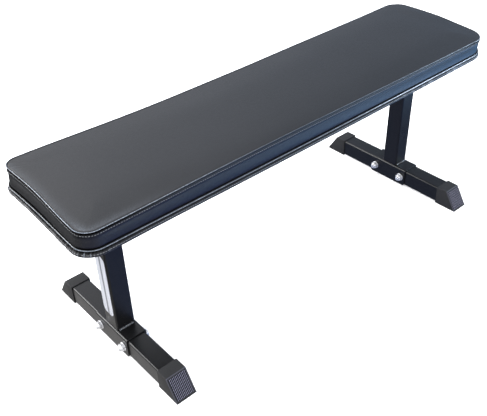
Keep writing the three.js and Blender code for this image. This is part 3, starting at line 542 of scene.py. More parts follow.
class Finish:
    """The shading of a material or of the world, built node by node."""

    def __init__(self, owner):
        owner.use_nodes = True
        self.owner = owner
        self.tree = owner.node_tree
        self.tree.nodes.clear()

    def node(self, kind, sockets=(), output=0, stops=(), **settings):
        """Adds a node, makes its settings, sets or links its sockets, and gives one output."""
        made = self.tree.nodes.new(kind)
        for name, value in settings.items():
            setattr(made, name, value)
        for index, (place, colour) in enumerate(stops):
            stop = made.color_ramp.elements[index] if index < 2 else made.color_ramp.elements.new(place)
            stop.position = place
            stop.color = (*colour, 1)
        for name, value in dict(sockets).items():
            if isinstance(value, Value):
                self.tree.links.new(value.socket, made.inputs[name])
            else:
                made.inputs[name].default_value = value
        return Value(self, made.outputs[output]) if made.outputs else None

    def math(self, operation, first, second=0.0):
        """One Math node."""
        return self.node("ShaderNodeMath", {0: first, 1: second}, operation=operation)

    def place(self):
        """Where a point is on the object, in metres."""
        return self.node("ShaderNodeTexCoord", output="Object")

    def part(self, vector, axis):
        """One part of a vector: X, Y or Z."""
        return self.node("ShaderNodeSeparateXYZ", {0: vector}, axis)

    def stored(self, name):
        """What a piece's points have stored under a name, as its amount above zero and below it."""
        value = self.node("ShaderNodeAttribute", output="Fac", attribute_name=name)
        return self.math("MAXIMUM", value, 0.0), self.math("MAXIMUM", -value, 0.0)

    def noise(self, scale, detail=2.0, vector=None):
        """Soft random values about 0.5."""
        sockets = {"Vector": vector or self.place(), "Scale": scale, "Detail": detail}
        return self.node("ShaderNodeTexNoise", sockets, "Fac")

    def blend(self, share, first, second):
        """A colour between two, by a share."""
        colours = {0: share, 6: (*first, 1) if isinstance(first, tuple) else first,
                   7: (*second, 1) if isinstance(second, tuple) else second}
        return self.node("ShaderNodeMix", colours, 2, data_type="RGBA")

    def ramp(self, value, *stops):
        """A ramp between colours, given as pairs of position and colour."""
        return self.node("ShaderNodeValToRGB", {0: value}, stops=stops)

    def steps(self, value, *stops):
        """A ramp between grey levels, given as pairs of position and level."""
        return self.ramp(value, *[(at, (grey,) * 3) for at, grey in stops])

    def end(self, kind, shader):
        """Ends the shading in an output node."""
        self.node(kind, {"Surface": shader})
        return self.owner

    def close(self, colour, roughness, height=None, relief=0.0, unlit=None, **constants):
        """Ends a material: colour and roughness vary, a height makes the bump, the rest is fixed.
        Where unlit is 1 the shader is mixed to near black: painted shade for creases too tight for light to
        leave."""
        sockets = {"Base Color": colour, "Roughness": roughness}
        if height is not None:
            bump = {"Height": height, "Distance": relief, "Strength": 1.0}
            sockets["Normal"] = self.node("ShaderNodeBump", bump)
        sockets.update({name.replace("_", " "): value for name, value in constants.items()})
        shader = self.node("ShaderNodeBsdfPrincipled", sockets)
        if unlit is not None:
            # Painted shade: a near-black matt shader mixed in where unlit is 1.
            crease_shade = self.node("ShaderNodeBsdfDiffuse", {"Color": (0.0015, 0.0015, 0.0015, 1)})
            shader = self.node("ShaderNodeMixShader", {0: unlit, 1: shader, 2: crease_shade})
        return self.end("ShaderNodeOutputMaterial", shader)


def finish_named(name):
    """An empty material to build."""
    return Finish(bpy.data.materials.new(name))


def charcoal_vinyl():
    """Matte vinyl with a fine pebbled grain and faint cloudiness. Its folds are painted paler and bluish,
    partly wear and partly a painted highlight, and they are flecked and smoother; its creases are painted
    in dark shade, and its side band is a little puckered, more up and down than along."""
    vinyl = finish_named("charcoal_vinyl")
    pebbles = vinyl.node(
        "ShaderNodeTexVoronoi", {"Vector": vinyl.place(), "Scale": 780.0, "Smoothness": 0.6},
        "Distance", feature="SMOOTH_F1",
    )
    rub = vinyl.noise(160.0, 2.0)
    fold, crease_shade = vinyl.stored("wear_sheen_shade")
    cloudy = vinyl.blend(vinyl.noise(7.0, 3.0), (0.0036, 0.0038, 0.0046), (0.0066, 0.0068, 0.0078))
    fleck = vinyl.steps(vinyl.noise(420.0, 2.0), (0.44, 0.0), (0.60, 1.0))
    # The folds' pale bluish colour is partly wear and partly a painted highlight.
    wear_and_sheen = fold * (0.065 + 0.10 * rub + 0.135 * fleck)
    shade = vinyl.blend(wear_and_sheen, cloudy, (0.63, 0.73, 0.87))
    roughness = 0.41 + 0.10 * rub - 0.28 * vinyl.math("MINIMUM", fold, 1.0)
    level = vinyl.part(vinyl.place(), "Z")
    on_band = vinyl.steps(level, (0.4005, 0.0), (0.4045, 1.0), (0.427, 1.0), (0.432, 0.0))
    drawn_up = {0: vinyl.place(), 1: (1.0, 1.0, 0.45)}
    upright = vinyl.node("ShaderNodeVectorMath", drawn_up, "Vector", operation="MULTIPLY")
    puckers = on_band * vinyl.noise(150.0, 3.0, upright)
    height = pebbles + 0.5 * vinyl.noise(2400.0, 2.0) + 3.0 * puckers
    # The creases are painted in dark shade through unlit.
    return vinyl.close(shade, roughness, height, 0.00012, crease_shade, Specular_IOR_Level=0.5)


def add_to_bench(piece, material, slot, *nodes):
    """Gives a finished piece its material and its ride, and hides the solids that it stands for. The slot
    is not used.
    """
    piece.data.materials.append(material)
    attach(piece, "root")
    if nodes:
        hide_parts(*nodes)
    return piece


add_to_bench(cushion, charcoal_vinyl(), "vinyl", "pad_cover", "pad_foam")

# Stitches: two rows of grey bonded thread, one in the valley under the top fold and one in the
# strip under the lower seam. Each stitch is a short plump strand whose ends dip into the vinyl.
stitch_pitch = 0.0052
stitch_length = 0.0040
thread_radius = 0.00054


def along_line(line, spacing, first_share):
    """Places at equal arc lengths of a closed line, and the line's direction at each."""
    line = np.concatenate((line, line[:1]))
    length = np.concatenate(([0], np.cumsum(np.linalg.norm(np.diff(line, axis=0), axis=1))))
    count = int(length[-1] / spacing)
    at = (np.arange(count) + first_share) * length[-1] / count
    take = lambda places: np.stack([np.interp(places, length, values) for values in line.T], -1)
    forward = take(at + 0.001) - take(at - 0.001)
    return take(at), forward / np.linalg.norm(forward, axis=1, keepdims=True)


def strands(name, points, rings, sides):
    """One piece of many strands, each of so many rings of points with a face over both ends."""
    size = rings * sides
    first = np.arange(len(points))[:, None, None] * size
    walls = grid_faces(rings, sides, wrap_columns=True) + first
    ends = np.array((np.arange(sides), np.arange(size - 1, size - 1 - sides, -1))) + first
    return closed_piece(name, points, walls.reshape(-1, 4), ends.reshape(-1, sides)[:, ::-1])


def stitch_row(name, inset, height):
    """Strands along one outline of the cushion. A strand is a tube round a short line, with radius
    r cos(0.9 t) and drop 1.2 r t^2 for t from -1 to 1, set at equal arc lengths and turned to its
    outline's direction."""
    places = round_places(along_shares, across_shares)
    bulged = inset - strip_share(height) * by_place(bulge_table, places) / 1000
    x, y = around_cushion(bulged, along_shares, across_shares, row_radii(np.array(height)))
    x = x + (1 - held_back(height)) * by_place(along_table, places) / 1000
    y = y + by_place(across_table, places) / 1000
    z = pad_low[2] + height - sewn_share(height) * by_place(sink_table, places) / 1000
    line = np.stack((x + pad_middle[0], y + pad_middle[1], z), -1)
    middle, forward = along_line(line, stitch_pitch, 0.5)
    outside = np.cross(forward, (0, 0, 1))
    outside /= np.linalg.norm(outside, axis=1, keepdims=True)
    upright = np.cross(outside, forward)
    rings, sides = 6, 5
    t = np.linspace(-1, 1, rings)[:, None]
    turn = np.arange(sides)[None, :] / sides * 2 * math.pi
    thick = thread_radius * np.cos(0.9 * t)
    along = stitch_length / 2 * t + 0 * turn
    out = thick * np.cos(turn) - 1.2 * thread_radius * t ** 2
    up = thick * np.sin(turn)
    strand = np.stack((along, out, up), -1).reshape(-1, 3)
    axes = np.stack((forward, outside, upright), 1)
    points = middle[:, None, :] + np.einsum("pk,nkc->npc", strand, axes)
    return strands(name, points, rings, sides)


def speckled(name, dark, pale, least_rough, rough_range, scales, relief, **constants):
    """A plain finish whose colour goes from dark to pale in specks and whose roughness varies in
    clouds over a range. Its bump is a grain. The scales are those of specks, clouds and grain."""
    finish = finish_named(name)
    specks, clouds, grain = (finish.noise(scale) for scale in scales)
    roughness = least_rough + rough_range * clouds
    return finish.close(finish.blend(specks, dark, pale), roughness, grain, relief, **constants)


thread_finish = speckled(
    "bonded_thread", (0.11, 0.113, 0.12), (0.22, 0.225, 0.235), 0.45, 0.2, (900, 600, 3000), 0.0001,
)
for name, inset, height in (("top_stitches", 0.0092, 0.0430), ("lower_stitches", 0.0015, 0.0069)):
    add_to_bench(stitch_row(name, inset, height), thread_finish, "vinyl")

# Inside the cushion: a plywood board with a plated tee nut over each bolt hole. They stay as
# solids, closed in by the vinyl and the foam, and only get their finishes here.
def birch_plywood():
    """Pale veneer with long grain along the bench."""
    wood = finish_named("birch_plywood")
    grain = wood.node("ShaderNodeMapping", {"Vector": wood.place(), "Scale": (3, 60, 60)})
    shade = wood.blend(wood.noise(4.0, 6.0, grain), (0.42, 0.27, 0.14), (0.62, 0.44, 0.25))
    return wood.close(shade, 0.6 + 0.2 * wood.noise(30.0), wood.noise(12.0, 4.0, grain), 0.0003)


def zinc_plate():
    """Bright zinc with a cloudy sheen and fine rub marks."""
    zinc = finish_named("zinc_plate")
    cloud = zinc.noise(260.0, 3.0)
    shade = zinc.blend(cloud, (0.72, 0.73, 0.75), (0.93, 0.93, 0.94))
    return zinc.close(shade, 0.18 + 0.20 * cloud, zinc.noise(1800.0, 2.0), 0.00006, Metallic=0.75)


def refinish(names, material):
    """Gives solids that are shown as they are a finish in place of their plain one."""
    for name in names:
        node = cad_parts[name]
        node.data.materials.clear()
        node.data.materials.append(material)


pad_corners = [f"{end}_{side}" for end in ("left", "right") for side in ("front", "back")]
zinc_finish = zinc_plate()
refinish(["pad_board"], birch_plywood())
refinish([f"tee_nut_{corner}" for corner in pad_corners], zinc_finish)

# Dust cloth: thin black felt that closes the cushion's underside. Its edge laps over the turned
# vinyl and is stapled to the board, and it hangs a little between the staples and the cross bars.
cloth_along = side_shares(long_side, 0.011, 0.016, 0.05)
cloth_across = side_shares(short_side, 0.009, 0.014, 0.05)
cloth_count = 2 * (len(cloth_along) + len(cloth_across) - 2)
cloth_steps = np.array((71, 62, 54, 47, 41, 36, 33, 30.5, 28.5, 25, 21, 20)) / 1000
cloth_radii = lower_radii - 0.002
cloth_thickness = 0.0005
cloth_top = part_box("pad_dust_cloth")[1][2]
lap_drop = 0.0013
sag_depth = 0.0016
pucker_depth = 0.00025
staple_spacing = 0.046


def cloth_height(x, y, inset):
    """Under the board inside the turned edge, under the vinyl outside it, and a sag of up to 1.6 mm
    that fades at the edge and over the cross bars, with slow ripples and puckers at the staples."""
    bar_low, bar_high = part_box("cross_bar_right")
    lap_inset, edge_inset, by_bar = 0.0335, 0.030, 0.02
    lap = smooth_step((lap_inset - inset) / 0.005)
    from_bar = np.abs(np.abs(x) - (bar_low[0] + bar_high[0]) / 2)
    over_bar = smooth_step((from_bar - by_bar) / 0.06)
    sag = smooth_step((inset - edge_inset) / 0.05) * over_bar
    ripple = 0.75 + 0.25 * waves(x, 0.083, 2 * waves(y, 0.13))
    pucker = pucker_depth * waves(x, staple_spacing) * waves(y, staple_spacing)
    edge = smooth_step((inset - edge_inset) / 0.008) * over_bar
    return cloth_top - lap_drop * lap - sag_depth * sag * ripple - np.abs(pucker) * edge


def dust_cloth():
    """A grid inside and rings round it, as in the cushion, at the cloth's height. Solidify gives it
    its thickness."""
    inset = np.repeat(cloth_steps[:, None], cloth_count, 1)
    ring_x, ring_y = around_cushion(inset, cloth_along, cloth_across, cloth_radii)
    middle_x, middle_y, deep = middle_grid(cloth_steps[0], cloth_along, cloth_across)
    x = np.concatenate((middle_x.ravel(), ring_x[1:].ravel()))
    y = np.concatenate((middle_y.ravel(), ring_y[1:].ravel()))
    z = cloth_height(x, y, np.concatenate((deep.ravel(), inset[1:].ravel())))
    points = np.stack((x + pad_middle[0], y + pad_middle[1], z), -1)
    *faces, _ = ringed_faces(len(cloth_along), len(cloth_across), len(cloth_steps) - 1)
    piece = closed_piece("dust_cloth", points, *faces)
    thick = piece.modifiers.new("felt", "SOLIDIFY")
    thick.thickness = cloth_thickness
    thick.offset = 0
    return piece


def black_felt():
    """Needled black felt with loose short fibres."""
    felt = finish_named("black_felt")
    fibre = felt.noise(1500.0, 4.0)
    shade = felt.blend(fibre, (0.010, 0.010, 0.011), (0.035, 0.035, 0.037))
    return felt.close(shade, 0.85 + 0.1 * fibre, fibre, 0.0005, Specular_IOR_Level=0.25)


cloth_piece = add_to_bench(dust_cloth(), black_felt(), "dust_cloth", "pad_dust_cloth")
cloth_half = pad_half_length - cloth_steps[-1], pad_half_width - cloth_steps[-1]
2 * cloth_half[1]
2 * cloth_half[0]

# Staples: flat zinc wire crowns, 10 mm long, in a row round the lapped edge of the dust cloth. Only
# the crowns are modelled, because the legs would be out of sight in the board.
def staples():
    """Flattened strands at equal arc lengths of one outline: half length times t for t from -1 to 1,
    as wide and thick as 0.15 + 0.85 cos(0.5 pi t^6) of their middle, lying against the cloth."""
    inset, half_length, half_width, half_thickness = 0.0235, 0.005, 0.00055, 0.00028
    x, y = around_cushion(np.full(cloth_count, inset), cloth_along, cloth_across, cloth_radii)
    middle, forward = along_line(np.stack((x, y), -1) + pad_middle[:2], staple_spacing, 0.3)
    rings, sides = 7, 6
    t = np.linspace(-1, 1, rings)[:, None]
    turn = (np.arange(sides)[None, :] + 0.5) / sides * 2 * math.pi
    round_end = np.cos(0.5 * math.pi * np.abs(t) ** 6) * 0.85 + 0.15
    along = (half_length * t + 0 * turn).ravel()[None, :, None]
    side = (half_width * round_end * np.cos(turn)).ravel()[None, :, None]
    down = half_thickness * round_end * np.sin(turn)
    across = np.stack((-forward[:, 1], forward[:, 0]), -1)
    points = np.zeros((len(middle), rings * sides, 3))
    points[..., :2] = middle[:, None] + (along * forward[:, None] + side * across[:, None])
    points[..., 2] = cloth_top - lap_drop - cloth_thickness + down.ravel()
    return strands("staples", points, rings, sides)


add_to_bench(staples(), zinc_finish, "zinc_steel")

# Steel frame: square tube, flat bars and bent plates, all dipped in a black satin powder coat. The
# rail runs along under the cushion and a flat bar crosses it at each end to carry the board.
def rounded_loop(half_x, half_y, radius, steps=7, hold=0.0006):
    """Points of a rounded rectangle with their outward directions: each corner is a quarter circle,
    with one more point just along the flat at both of its ends so that flats stay flat."""
    turn = np.linspace(0, math.pi / 2, steps)
    turn = np.concatenate((turn[:1], turn, turn[-1:]))
    points, normals = [], []
    for corner in range(4):
        angle = turn + corner * math.pi / 2
        direction = np.stack((np.cos(angle), np.sin(angle)), -1)
        sign = np.array(((1, 1), (-1, 1), (-1, -1), (1, -1))[corner])
        centre = sign * (half_x - radius, half_y - radius)
        slide = np.zeros(direction.shape)
        slide[0] = np.array((math.sin(angle[0]), -math.cos(angle[0]))) * hold
        slide[-1] = np.array((-math.sin(angle[-1]), math.cos(angle[-1]))) * hold
        points.append(centre + radius * direction + slide)
        normals.append(direction)
    return np.concatenate(points), np.concatenate(normals)


def turned_to(points, axis):
    """Points drawn with their length along z, turned so that it lies along the named axis."""
    return np.roll(points, {"z": 0, "x": 1, "y": 2}[axis], -1)


def swept_piece(name, loops, closed=False):
    """A body swept over loops of points, whose last loop meets its first or whose ends have faces."""
    rows, count = loops.shape[:2]
    if closed:
        return closed_piece(name, loops, grid_faces(rows, count, True, True))
    ends = np.array((np.arange(count)[::-1], np.arange(count) + (rows - 1) * count))
    return closed_piece(name, loops, grid_faces(rows, count, wrap_columns=True), ends)


def square_tube(name, centre, length, axis, size=0.045, radius=0.004, wall=0.002):
    """The loop of the outside carried along the tube, over its rounded end, back along the inside
    and over the other end. A row is (depth into the wall, place along)."""
    outline, normal = rounded_loop(size / 2, size / 2, radius)
    soft, hold, end = 0.0004, 0.0006, length / 2
    half = np.array((
        (0, end - soft - hold), (0, end - soft), (0.3 * soft, end - 0.3 * soft), (soft, end),
        (wall - soft, end), (wall - 0.3 * soft, end - 0.3 * soft),
        (wall, end - soft), (wall, end - soft - hold),
    ))
    rows = np.concatenate((half, half[::-1] * (1, -1)))
    section = outline[None] - rows[:, None, :1] * normal[None]
    along = np.repeat(rows[:, 1:, None], len(outline), 1)
    points = turned_to(np.concatenate((section, along), -1), axis) + centre
    return swept_piece(name, points, closed=True)


def edged_plate(name, low, high, thin_axis="z", radius=0.0008, soft=0.0005):
    """A flat plate with rounded corners and softened edges: loops through its thickness, drawn in
    at both faces, and a flat face over each end."""
    low, high = np.array(low), np.array(high)
    shift = {"z": 0, "x": 1, "y": 2}[thin_axis]
    size = np.roll(high - low, -shift)
    rows = (
        (soft, 0), (0.3 * soft, 0.3 * soft), (0, soft),
        (0, size[2] - soft), (0.3 * soft, size[2] - 0.3 * soft), (soft, size[2]),
    )
    outline, normal = rounded_loop(size[0] / 2, size[1] / 2, max(radius, soft))
    loops = np.stack([
        np.column_stack((outline - inset * normal, np.full(len(outline), height - size[2] / 2)))
        for inset, height in rows
    ])
    return swept_piece(name, np.roll(loops, shift, -1) + (low + high) / 2)


def black_powder_coat():
    """Satin black powder coat: a fine orange-peel skin with a few duller patches."""
    paint = finish_named("black_powder_coat")
    speckle = paint.noise(1300.0, 3.0)
    shade = paint.blend(speckle, (0.0028, 0.0028, 0.0032), (0.0064, 0.0064, 0.0068))
    roughness = 0.19 + 0.15 * paint.noise(14.0, 3.0) + 0.08 * speckle
    peel = speckle + 0.6 * paint.noise(420.0, 1.0)
    return paint.close(shade, roughness, peel, 0.00010, Specular_IOR_Level=0.37)


paint_finish = black_powder_coat()
plastic_finish = speckled(
    "black_polythene", (0.012, 0.012, 0.013), (0.022, 0.022, 0.023), 0.45, 0.15, (300, 90, 1700), 0.00006,
)
rail_low, rail_high = solid_box("main_rail")
rail_middle = (rail_low + rail_high) / 2
rail = square_tube("bench_rail", rail_middle, rail_high[0] - rail_low[0], "x")
add_to_bench(rail, paint_finish, "black_steel", "main_rail")
plug_head = 0.003
for end in ("left", "right"):
    bar = edged_plate(f"cushion_bar_{end}", *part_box(f"cross_bar_{end}"), radius=0.0015)
    add_to_bench(bar, paint_finish, "black_steel", f"cross_bar_{end}")
    low, high = solid_box(f"rail_plug_{end}")
    if end == "left":
        high[0] = low[0] + plug_head
    else:
        low[0] = high[0] - plug_head
    plug = edged_plate(f"rail_end_plug_{end}", low, high, "x", radius=0.004, soft=0.001)
    add_to_bench(plug, plastic_finish, "black_plastic", f"rail_plug_{end}")

# Bent plates: a saddle over each foot and a cradle under the rail, folded from 3 mm steel plate to a
# channel that grips the tube, with the lower corners clipped. The upright is welded between them.
def bent_plate(name, centre, length, over_foot):
    """A plate's section (its length by its thickness, with softened corners) carried along the line
    of the channel: up one side, round a bend, across, round a bend and down. The half length is
    reduced by the clipped corner, cut minus the way from the plate's edge."""
    plate, bend, cut, lip, fit, tube = 0.003, 0.0045, 0.003, 0.001, 0.0003, 0.045
    soft, hold = 0.0005, 0.0008
    outer = tube / 2 + fit + plate
    bottom = outer - (plate + fit + tube + lip)
    straight_up = outer - bend - bottom
    flat = outer - bend
    climb = np.array((0, 0.3 * soft, soft, soft + hold, cut / 2, cut, cut + hold, straight_up - hold))
    turn = np.linspace(0, math.pi / 2, 9)
    round_bend = np.stack((-np.cos(turn), np.sin(turn)), -1)
    line = np.concatenate((
        np.column_stack((np.full(len(climb), -outer), bottom + climb)),
        np.array((-flat, flat)) + bend * round_bend,
        ((-flat + hold, outer),),
    ))
    normal = np.concatenate((np.repeat([(-1.0, 0.0)], len(climb), 0), round_bend, ((0, 1),)))
    from_edge = np.concatenate((climb, np.full(len(turn) + 1, straight_up)))
    line = np.concatenate((line, line[::-1] * (-1, 1)))
    normal = np.concatenate((normal, normal[::-1] * (-1, 1)))
    from_edge = np.concatenate((from_edge, from_edge[::-1]))
    draw_in = np.maximum(soft - from_edge, 0)
    half = length / 2 - np.maximum(cut - from_edge, 0)
    loop, _ = rounded_loop(1.0, plate / 2, soft, steps=4)
    along = np.sign(loop[:, 0])[None] * (half - 1)[:, None] + loop[:, 0][None]
    deep = plate / 2 - loop[:, 1]
    deep = plate / 2 + (deep - plate / 2)[None] * (1 - draw_in / plate * 2)[:, None]
    section = line[:, None, :] - deep[..., None] * normal[:, None, :]
    if over_foot:
        points = np.stack((section[..., 0], along, section[..., 1]), -1)
    else:
        points = np.stack((along, section[..., 0], -section[..., 1]), -1)
    return swept_piece(name, points + centre)


def weld_bead(name, centre, along_x, up_from_joint, away):
    """A bead along a joint: a tube of radius r(t) (1 + ripples) that narrows to both ends, where the
    ripples are the laid drops |sin| of the length, leaning with the turn, slow waves make it ragged
    and a blob ends it."""
    half, radius, drop_length, rings, sides = 0.0185, 0.0030, 0.0024, 97, 14
    t = np.linspace(-1, 1, rings)[:, None]
    turn = np.arange(sides)[None, :] / sides * 2 * math.pi
    drops = np.abs(np.sin(t * half / drop_length * math.pi + 0.5 * np.cos(turn + 0.6)))
    ragged = 0.10 * np.sin(t * 9.1 + away) + 0.07 * np.sin(t * 23.0 + 1.7 * away)
    blob = 0.32 * np.exp(-((t + 0.93) / 0.07) ** 2)
    narrowed = np.sqrt(np.maximum(1 - np.abs(t) ** 14, 0.02))
    thick = radius * narrowed * (0.9 + 0.17 * drops + ragged + blob)
    long = half * t + 0 * turn
    side = away * (0.0006 + thick * np.cos(turn))
    up = up_from_joint * (0.0008 + 0.92 * thick * np.sin(turn))
    points = np.stack((long, side, up) if along_x else (side, long, up), -1)
    return swept_piece(name, points + np.array(centre))


# The bead's black coat is flecked paler: a painted sheen for the light that the rough bead catches.
weld_coat_sheen_finish = speckled(
    "weld_coat_with_painted_sheen", (0.012, 0.012, 0.013), (0.10, 0.10, 0.105), 0.18, 0.14, (500, 900, 1500), 0.00010,
    Specular_IOR_Level=0.8,
)
legs = {}
post_half = 0.0225
for end in ("left", "right"):
    saddle_low, saddle_high = solid_box(f"foot_saddle_{end}")
    cradle_low, cradle_high = solid_box(f"rail_cradle_{end}")
    upright_low, upright_high = solid_box(f"upright_{end}")
    foot_low, foot_high = solid_box(f"foot_tube_{end}")
    legs[end] = foot_middle = (foot_low + foot_high) / 2
    x = foot_middle[0]
    saddle_length = saddle_high[1] - saddle_low[1]
    saddle = bent_plate(f"foot_bracket_{end}", foot_middle, saddle_length, over_foot=True)
    add_to_bench(saddle, paint_finish, "black_steel", f"foot_saddle_{end}")
    cradle_middle = (x, 0, rail_middle[2])
    cradle_length = cradle_high[0] - cradle_low[0]
    cradle = bent_plate(f"rail_bracket_{end}", cradle_middle, cradle_length, over_foot=False)
    add_to_bench(cradle, paint_finish, "black_steel", f"rail_cradle_{end}")
    post_middle = np.array((x, 0, (upright_low[2] + upright_high[2]) / 2))
    post = square_tube(f"bench_post_{end}", post_middle, upright_high[2] - upright_low[2], "z")
    add_to_bench(post, paint_finish, "black_steel", f"upright_{end}")
    for side, away in (("front", -1), ("back", 1)):
        place = (x, away * post_half, upright_low[2])
        bead = weld_bead(f"foot_weld_{end}_{side}", place, along_x=True, up_from_joint=1, away=away)
        add_to_bench(bead, weld_coat_sheen_finish, "black_steel")
    for side, away in (("outer", -1), ("inner", 1)):
        place = (x + away * post_half, 0, upright_high[2])
        bead = weld_bead(f"rail_weld_{end}_{side}", place, along_x=False, up_from_joint=-1, away=away)
        add_to_bench(bead, weld_coat_sheen_finish, "black_steel")
    foot = square_tube(f"foot_beam_{end}", foot_middle, foot_high[1] - foot_low[1], "y")
    add_to_bench(foot, paint_finish, "black_steel", f"foot_tube_{end}")

# Fasteners: zinc-plated bolts with hexagon heads, flat washers and lock nuts through the feet, and
# flanged bolts and nuts under the cushion and through the rail.
thread_pitch = 0.0015
thread_depth = 0.0007
thread_length = 0.0150
bolt_radius, hexagon_flats = 0.005, 0.017
pad_bolt_radius, pad_bolt_flats = 0.004, 0.013
head_height, pad_head_height = 0.0064, 0.0053
bolt_bore = 0.0053


def spun_rows(rows, across_flats, steps=48):
    """Radius by turn for rows of (radius, height, six-sided, thread), where the last two are 0 if not
    given: a six-sided row is cut by the hexagon, flats / 2 / cos(turn from a flat's middle), and a
    threaded row waves by the turn."""
    turn = np.arange(steps) / steps * 2 * math.pi
    from_flat = (turn + math.pi / 6) % (math.pi / 3) - math.pi / 6
    hexagon = across_flats / 2 / np.cos(from_flat)
    rows = np.array([(*row, 0, 0)[:4] for row in rows], float)
    radius, height, six_sided, threaded = rows.T[:, :, None]
    radius = radius + 0 * turn
    radius = np.where(six_sided > 0, np.minimum(radius, hexagon), radius)
    wave = np.abs(((height / thread_pitch - turn / (2 * math.pi)) % 1) * 2 - 1)
    radius = radius - threaded * thread_depth * wave
    return radius * np.cos(turn), radius * np.sin(turn), height + 0 * turn


def fastener(name, rows, across_flats, centre, axis, sign, hollow):
    """Rows turned round the fastener's own axis, closed through the bore where it is hollow, or else
    with a flat face at both ends."""
    a, b, height = spun_rows(rows, across_flats)
    points = turned_to(np.stack((a, b * sign, height * sign), -1), axis) + centre
    return swept_piece(name, points, closed=hollow)


def bolt_rows(radius, flats, head, length, flange=0.0, flange_height=0.0):
    """From the head's face up over its chamfer, down its sides, over the flange, along the shank
    and the thread to the chamfered tip. Zero is the seat of the head."""
    corner = flats / math.sqrt(3)
    rows = [
        (flats * 0.40, -head + 0.0004), (flats * 0.43, -head), (flats * 0.47, -head),
        (corner * 0.985, -head + 0.0009, 1), (corner, -head + 0.0012, 1),
    ]
    if flange:
        rows += [
            (corner, -flange_height - 0.0006, 1), (corner, -flange_height, 1),
            (flange * 0.62 / 1.2, -flange_height),
            (flange / 2 - 0.0006, -flange_height * 0.62),
            (flange / 2, -flange_height * 0.40), (flange / 2 - 0.0002, 0),
        ]
    else:
        rows += [(corner, -0.0012, 1), (corner * 0.99, -0.0007, 1), (flats * 0.48, 0)]
    thread_start = length - thread_length
    rows += [(radius, 0), (radius, 0.0004), (radius, thread_start)]
    threads = np.arange(thread_start + 0.0003, length - 0.0008, thread_pitch / 4)
    rows += [(radius, place, 0, 1) for place in threads]
    rows += [(radius * 0.84, length), (radius * 0.80, length)]
    return rows


def washer_rows(outer, inner, thickness):
    """Round the washer's section, with stamped edges: a rolled one and a sharper one."""
    return [
        (inner, 0.0002), (inner + 0.0002, 0), (outer - 0.0004, 0),
        (outer - 0.0001, 0.0002), (outer, 0.0005), (outer, thickness - 0.0004),
        (outer - 0.0002, thickness - 0.0001), (outer - 0.0006, thickness),
        (inner + 0.0004, thickness), (inner, thickness - 0.0003),
    ]


def lock_nut_rows(flats, height, bore, collar, collar_height):
    """Up the hexagon, over its top chamfer, up the rolled collar, over its lip and down the bore."""
    corner = flats / math.sqrt(3)
    top = height + collar_height
    return [
        (bore, 0.0006), (bore + 0.0006, 0), (flats * 0.48, 0),
        (corner * 0.985, 0.0008, 1), (corner, 0.0011, 1), (corner, height - 0.0012, 1),
        (corner * 0.985, height - 0.0008, 1), (flats * 0.475, height),
        (collar + 0.0002, height), (collar, height + 0.0003),
        (collar - 0.0001, top - 0.0010), (collar - 0.0006, top - 0.0003),
        (collar - 0.0014, top), (collar - 0.0019, top - 0.0002),
        (bore + 0.0004, top - 0.0008), (bore, top - 0.0014),
    ]


def flange_nut_rows(flats, height, bore, flange, flange_height):
    """Over the flange, up the hexagon, over its chamfer and down the bore."""
    corner = flats / math.sqrt(3)
    return [
        (bore, 0.0004), (bore + 0.0004, 0), (flange - 0.0002, 0),
        (flange, 0.0006), (flange - 0.0006, flange_height * 0.7),
        (corner, flange_height, 1), (corner, height - 0.0012, 1),
        (corner * 0.985, height - 0.0008, 1), (flats * 0.47, height),
        (bore + 0.0008, height), (bore, height - 0.0008),
    ]


def insert_rows(bore, outer, low, high):
    """Round the section of the nylon ring that shows inside a lock nut's collar."""
    return [
        (bore, low), (outer, low), (outer, high), (outer - 0.0003, high + 0.0003),
        (bore + 0.00025, high + 0.0003), (bore, high),
    ]


